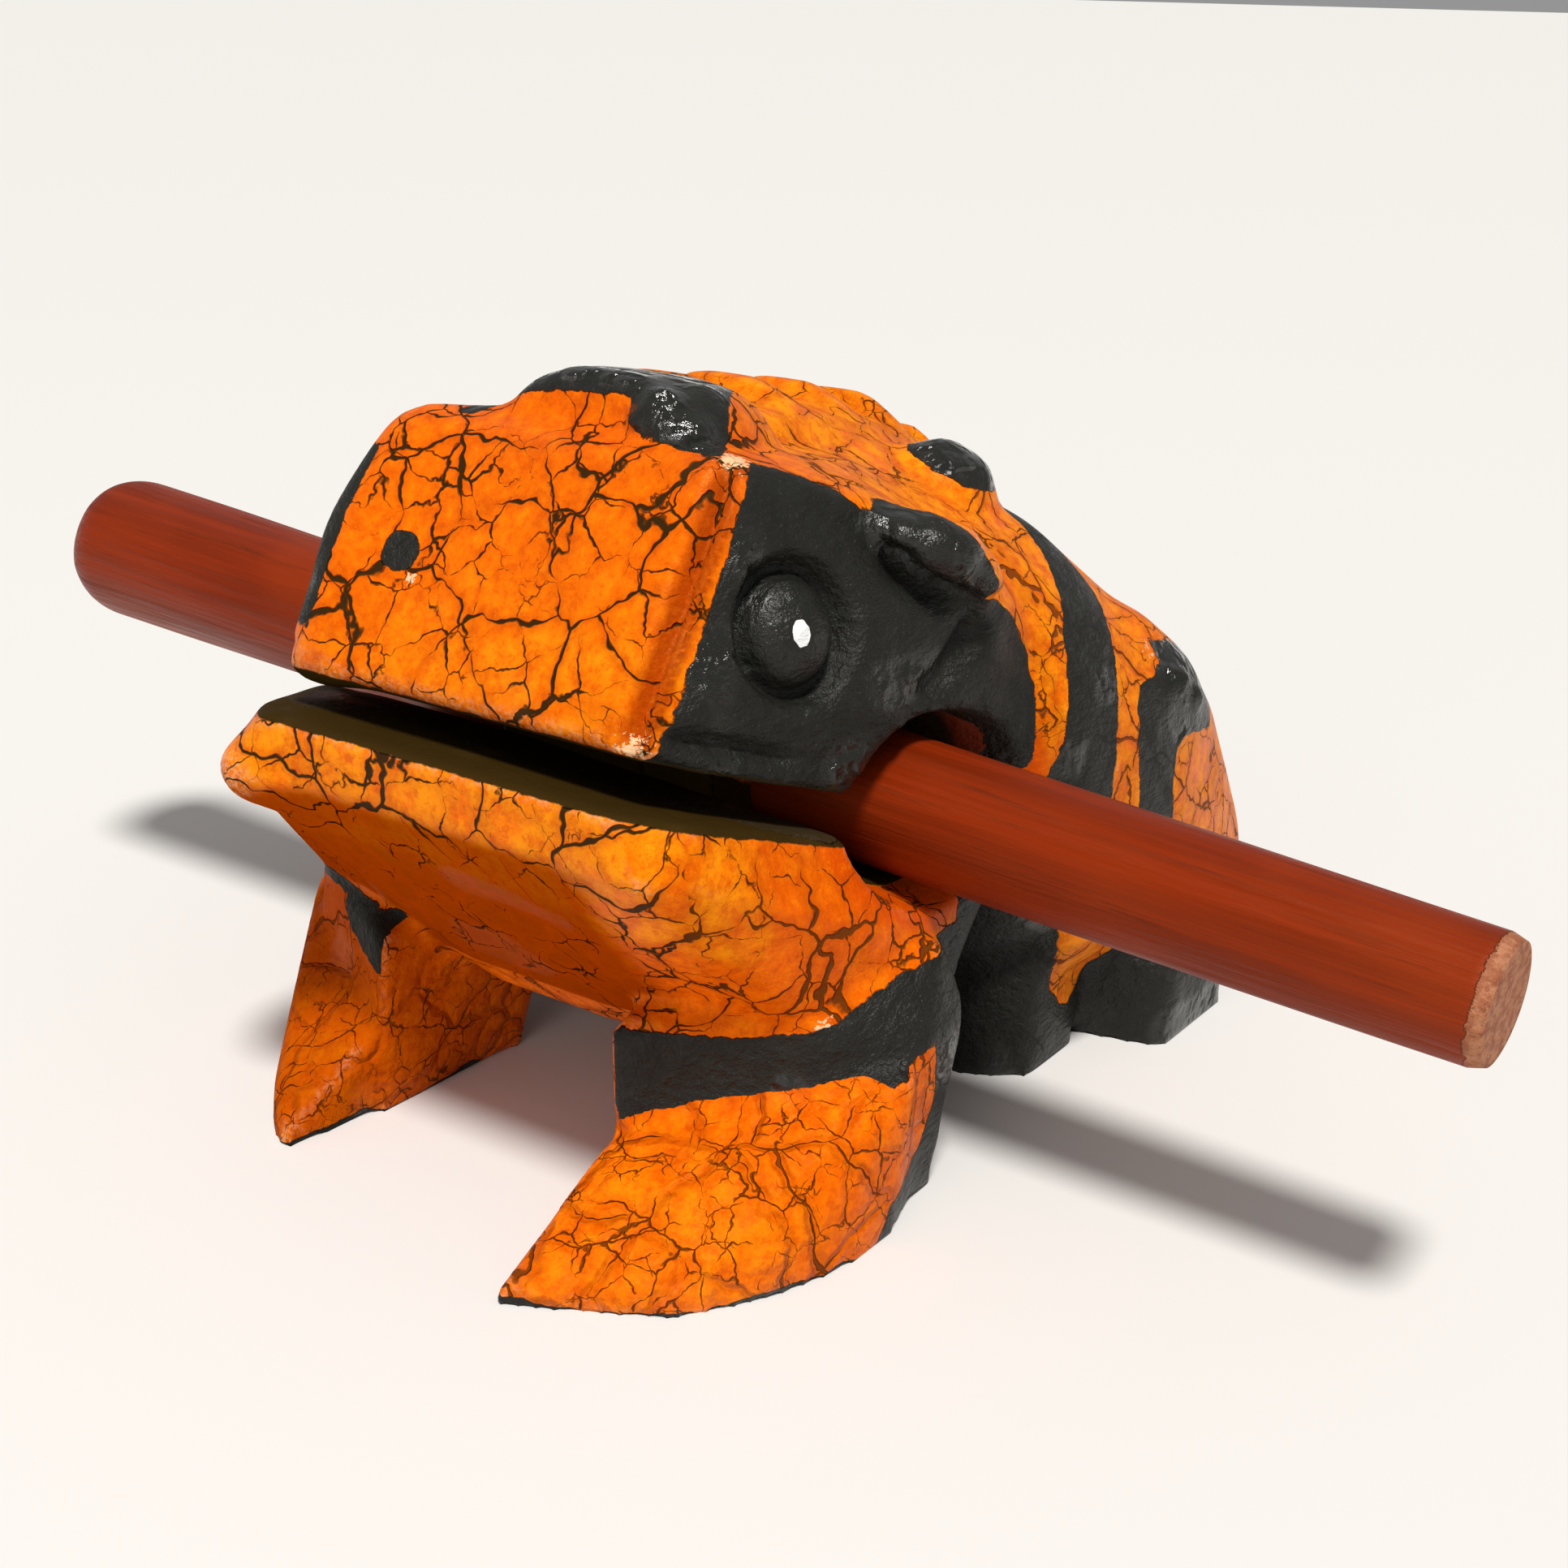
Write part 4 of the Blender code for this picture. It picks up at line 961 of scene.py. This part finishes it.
def turn_stick(settings):
    thick_end, thin_end = stick_ends()
    axis = thin_end - thick_end
    material = stick_material(settings)
    tree, t, given, mesh, place, to_cut = turned_stick_tree()
    wobble = t.node("ShaderNodeTexNoise", Scale=90.0, Detail=2.0)
    t.put(t.vector("MULTIPLY", place, (1, 1, 0.12)), wobble.inputs["Vector"])
    knife = t.scaled(t.vector("SUBTRACT", wobble.outputs["Color"], (0.5, 0.5, 0.5)), 0.0009)
    sideways = t.vector("MULTIPLY", knife, (1, 1, 0))
    shaped = t.node("GeometryNodeSetPosition", Geometry=mesh, Position=t.vector("ADD", place, sideways))
    grain = t.node("GeometryNodeStoreNamedAttribute", {"data_type": "FLOAT_VECTOR", "domain": "POINT"})
    t.put(shaped.outputs[0], grain.inputs["Geometry"])
    t.put("along_grain", grain.inputs["Name"])
    t.put(t.scaled(t.node("GeometryNodeInputPosition").outputs[0], 1 / MM), grain.inputs["Value"])
    cut = t.node("GeometryNodeStoreNamedAttribute", {"data_type": "FLOAT", "domain": "POINT"})
    t.put(grain.outputs[0], cut.inputs["Geometry"])
    t.put("cut_end", cut.inputs["Name"])
    t.put(t.span(to_cut, 0.0, 0.0022, 1.0, 0.0), cut.inputs["Value"])
    moved = t.node("GeometryNodeTransform")
    t.put(cut.outputs[0], moved.inputs["Geometry"])
    t.put(given["Middle"], moved.inputs["Translation"])
    t.put(given["Turn"], moved.inputs["Rotation"])
    smooth = t.node("GeometryNodeSetShadeSmooth", Geometry=moved.outputs[0])
    real = t.node("GeometryNodeRealizeInstances", Geometry=smooth.outputs[0])
    painted = t.node("GeometryNodeSetMaterial", Geometry=real.outputs[0])
    painted.inputs["Material"].default_value = material
    t.put(painted.outputs[0], t.node("NodeGroupOutput").inputs[0])

    blank = bpy.data.objects.new("stick_blank", bpy.data.meshes.new("stick_blank"))
    bpy.context.scene.collection.objects.link(blank)
    modifier = blank.modifiers.new("turning", "NODES")
    modifier.node_group = tree
    turn = axis.to_track_quat("Z", "Y").to_euler()
    values = {
        "Length": axis.length,
        "Thick diameter": settings.thick,
        "Thin diameter": settings.thin,
        "Rounding": settings.dome,
        "Turn": tuple(turn),
        "Middle": tuple((thick_end + thin_end) / 2),
    }
    for item in tree.interface.items_tree:
        if item.in_out == "INPUT" and item.name in values:
            modifier[item.identifier] = values[item.name]
    graph = bpy.context.evaluated_depsgraph_get()
    turned = blank.evaluated_get(graph)
    mesh = bpy.data.meshes.new_from_object(turned, preserve_all_data_layers=True, depsgraph=graph)
    bpy.data.objects.remove(blank)
    return mesh, material


class GUIRO_OT_carve_frog(bpy.types.Operator):
    """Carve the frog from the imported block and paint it"""

    bl_idname = "guiro.carve_frog"
    bl_label = "Carve and Paint Frog"

    def execute(self, context):
        settings = context.scene.guiro_body
        skin = Skin(skinned_block(settings.skin))
        rub_down(skin, settings.rubbing)
        cut_facets(skin, settings.tool_marks)
        carve_head(skin)
        carve_eyes(skin)
        carve_back(skin)
        skin.co[:, 2] = np.maximum(skin.co[:, 2], 0.0)
        skin.refresh()
        paint_body(skin)
        skin.write()
        skin.mesh.polygons.foreach_set("use_smooth", np.ones(len(skin.mesh.polygons), bool))
        new_piece("frog_carving", skin.mesh, "frog_body", body_material(settings))
        return {"FINISHED"}


class GUIRO_OT_turn_stick(bpy.types.Operator):
    """Turn the stick and lay it in the sound hole"""

    bl_idname = "guiro.turn_stick"
    bl_label = "Turn Stick"

    def execute(self, context):
        mesh, material = turn_stick(context.scene.guiro_stick)
        new_piece("turned_stick", mesh, "striker_stick", material)
        return {"FINISHED"}


def area_light(name, place, target, size, power, colour):
    data = bpy.data.lights.new(name, "AREA")
    data.shape = "DISK"
    data.size = size
    data.energy = power
    data.color = colour
    light = bpy.data.objects.new(name, data)
    light.location = place
    light.rotation_mode = "QUATERNION"
    light.rotation_quaternion = (Vector(target) - Vector(place)).to_track_quat("-Z", "Y")
    bpy.context.scene.collection.objects.link(light)


def key_light(strength, azimuth, elevation):
    """An even soft light from far away, so that the floor is equally pale everywhere."""
    data = bpy.data.lights.new("key_light", "SUN")
    data.energy = strength
    data.angle = math.radians(KEY_SPREAD)
    data.color = KEY_COLOUR
    light = bpy.data.objects.new("key_light", data)
    light.rotation_euler = (math.radians(90.0 - elevation), 0.0, math.radians(azimuth))
    bpy.context.scene.collection.objects.link(light)


def set_camera():
    """The photograph's viewing angle."""
    azimuth, elevation, roll = (math.radians(angle) for angle in CAMERA_ANGLES)
    right = Vector((math.cos(azimuth), math.sin(azimuth), 0.0))
    level = math.cos(elevation)
    back = Vector((math.sin(azimuth) * level, -math.cos(azimuth) * level, math.sin(elevation)))
    up = back.cross(right)
    rolled_right = math.cos(roll) * right + math.sin(roll) * up
    rolled_up = math.cos(roll) * up - math.sin(roll) * right
    data = bpy.data.cameras.new("camera")
    data.sensor_width = CAMERA_SENSOR
    data.lens = CAMERA_LENS
    data.clip_start = 0.01
    camera = bpy.data.objects.new("camera", data)
    place = Matrix((rolled_right, rolled_up, back)).transposed().to_4x4()
    place.translation = Vector(CAMERA_PLACE) * MM
    camera.matrix_world = place
    bpy.context.scene.collection.objects.link(camera)
    bpy.context.scene.camera = camera


class GUIRO_OT_set_stage(bpy.types.Operator):
    """Set the camera, the lights and a plain pale floor"""

    bl_idname = "guiro.set_stage"
    bl_label = "Set Stage"

    def execute(self, context):
        settings = context.scene.guiro_stage
        set_camera()
        key_light(settings.key, KEY_AZIMUTH, KEY_ELEVATION)
        area_light("fill_light", FILL_PLACE, FILL_TARGET, FILL_SIZE, settings.fill, FILL_COLOUR)
        floor = bmesh.new()
        bmesh.ops.create_grid(floor, x_segments=1, y_segments=1, size=FLOOR_REACH)
        mesh = bpy.data.meshes.new("floor")
        floor.to_mesh(mesh)
        floor.free()
        plane = bpy.data.objects.new("floor", mesh)
        context.scene.collection.objects.link(plane)
        material = bpy.data.materials.new("pale_floor")
        material.use_nodes = True
        shader = material.node_tree.nodes["Principled BSDF"]
        shader.inputs["Base Color"].default_value = (*settings.floor, 1.0)
        shader.inputs["Roughness"].default_value = 0.85
        mesh.materials.append(material)
        world = bpy.data.worlds.new("pale_world")
        world.use_nodes = True
        world.node_tree.nodes["Background"].inputs["Color"].default_value = (1.0, 1.0, 1.0, 1.0)
        world.node_tree.nodes["Background"].inputs["Strength"].default_value = settings.world
        context.scene.world = world
        context.scene.view_settings.view_transform = "Standard"
        return {"FINISHED"}


class GUIRO_PT_panel(bpy.types.Panel):
    """Steps that make the guiro, in order"""

    bl_label = "Frog Guiro"
    bl_idname = "GUIRO_PT_panel"
    bl_space_type = "VIEW_3D"
    bl_region_type = "UI"
    bl_category = "Guiro"

    def draw(self, context):
        for group, operator in (
            ("guiro_body", "guiro.carve_frog"),
            ("guiro_stick", "guiro.turn_stick"),
            ("guiro_stage", "guiro.set_stage"),
        ):
            box = self.layout.box()
            values = getattr(context.scene, group)
            for key in values.bl_rna.properties.keys():
                if key not in {"rna_type", "name"}:
                    box.prop(values, key)
            box.operator(operator)


CLASSES = (
    GuiroBody, GuiroStick, GuiroStage, GUIRO_OT_carve_frog, GUIRO_OT_turn_stick, GUIRO_OT_set_stage,
    GUIRO_PT_panel,
)


def register():
    for cls in CLASSES:
        bpy.utils.register_class(cls)
    bpy.types.Scene.guiro_body = PointerProperty(type=GuiroBody)
    bpy.types.Scene.guiro_stick = PointerProperty(type=GuiroStick)
    bpy.types.Scene.guiro_stage = PointerProperty(type=GuiroStage)


def unregister():
    del bpy.types.Scene.guiro_stage
    del bpy.types.Scene.guiro_stick
    del bpy.types.Scene.guiro_body
    for cls in reversed(CLASSES):
        bpy.utils.unregister_class(cls)


def main():
    register()
    bpy.ops.guiro.carve_frog()
    bpy.ops.guiro.turn_stick()
    bpy.ops.guiro.set_stage()


if __name__ == "__main__":
    main()
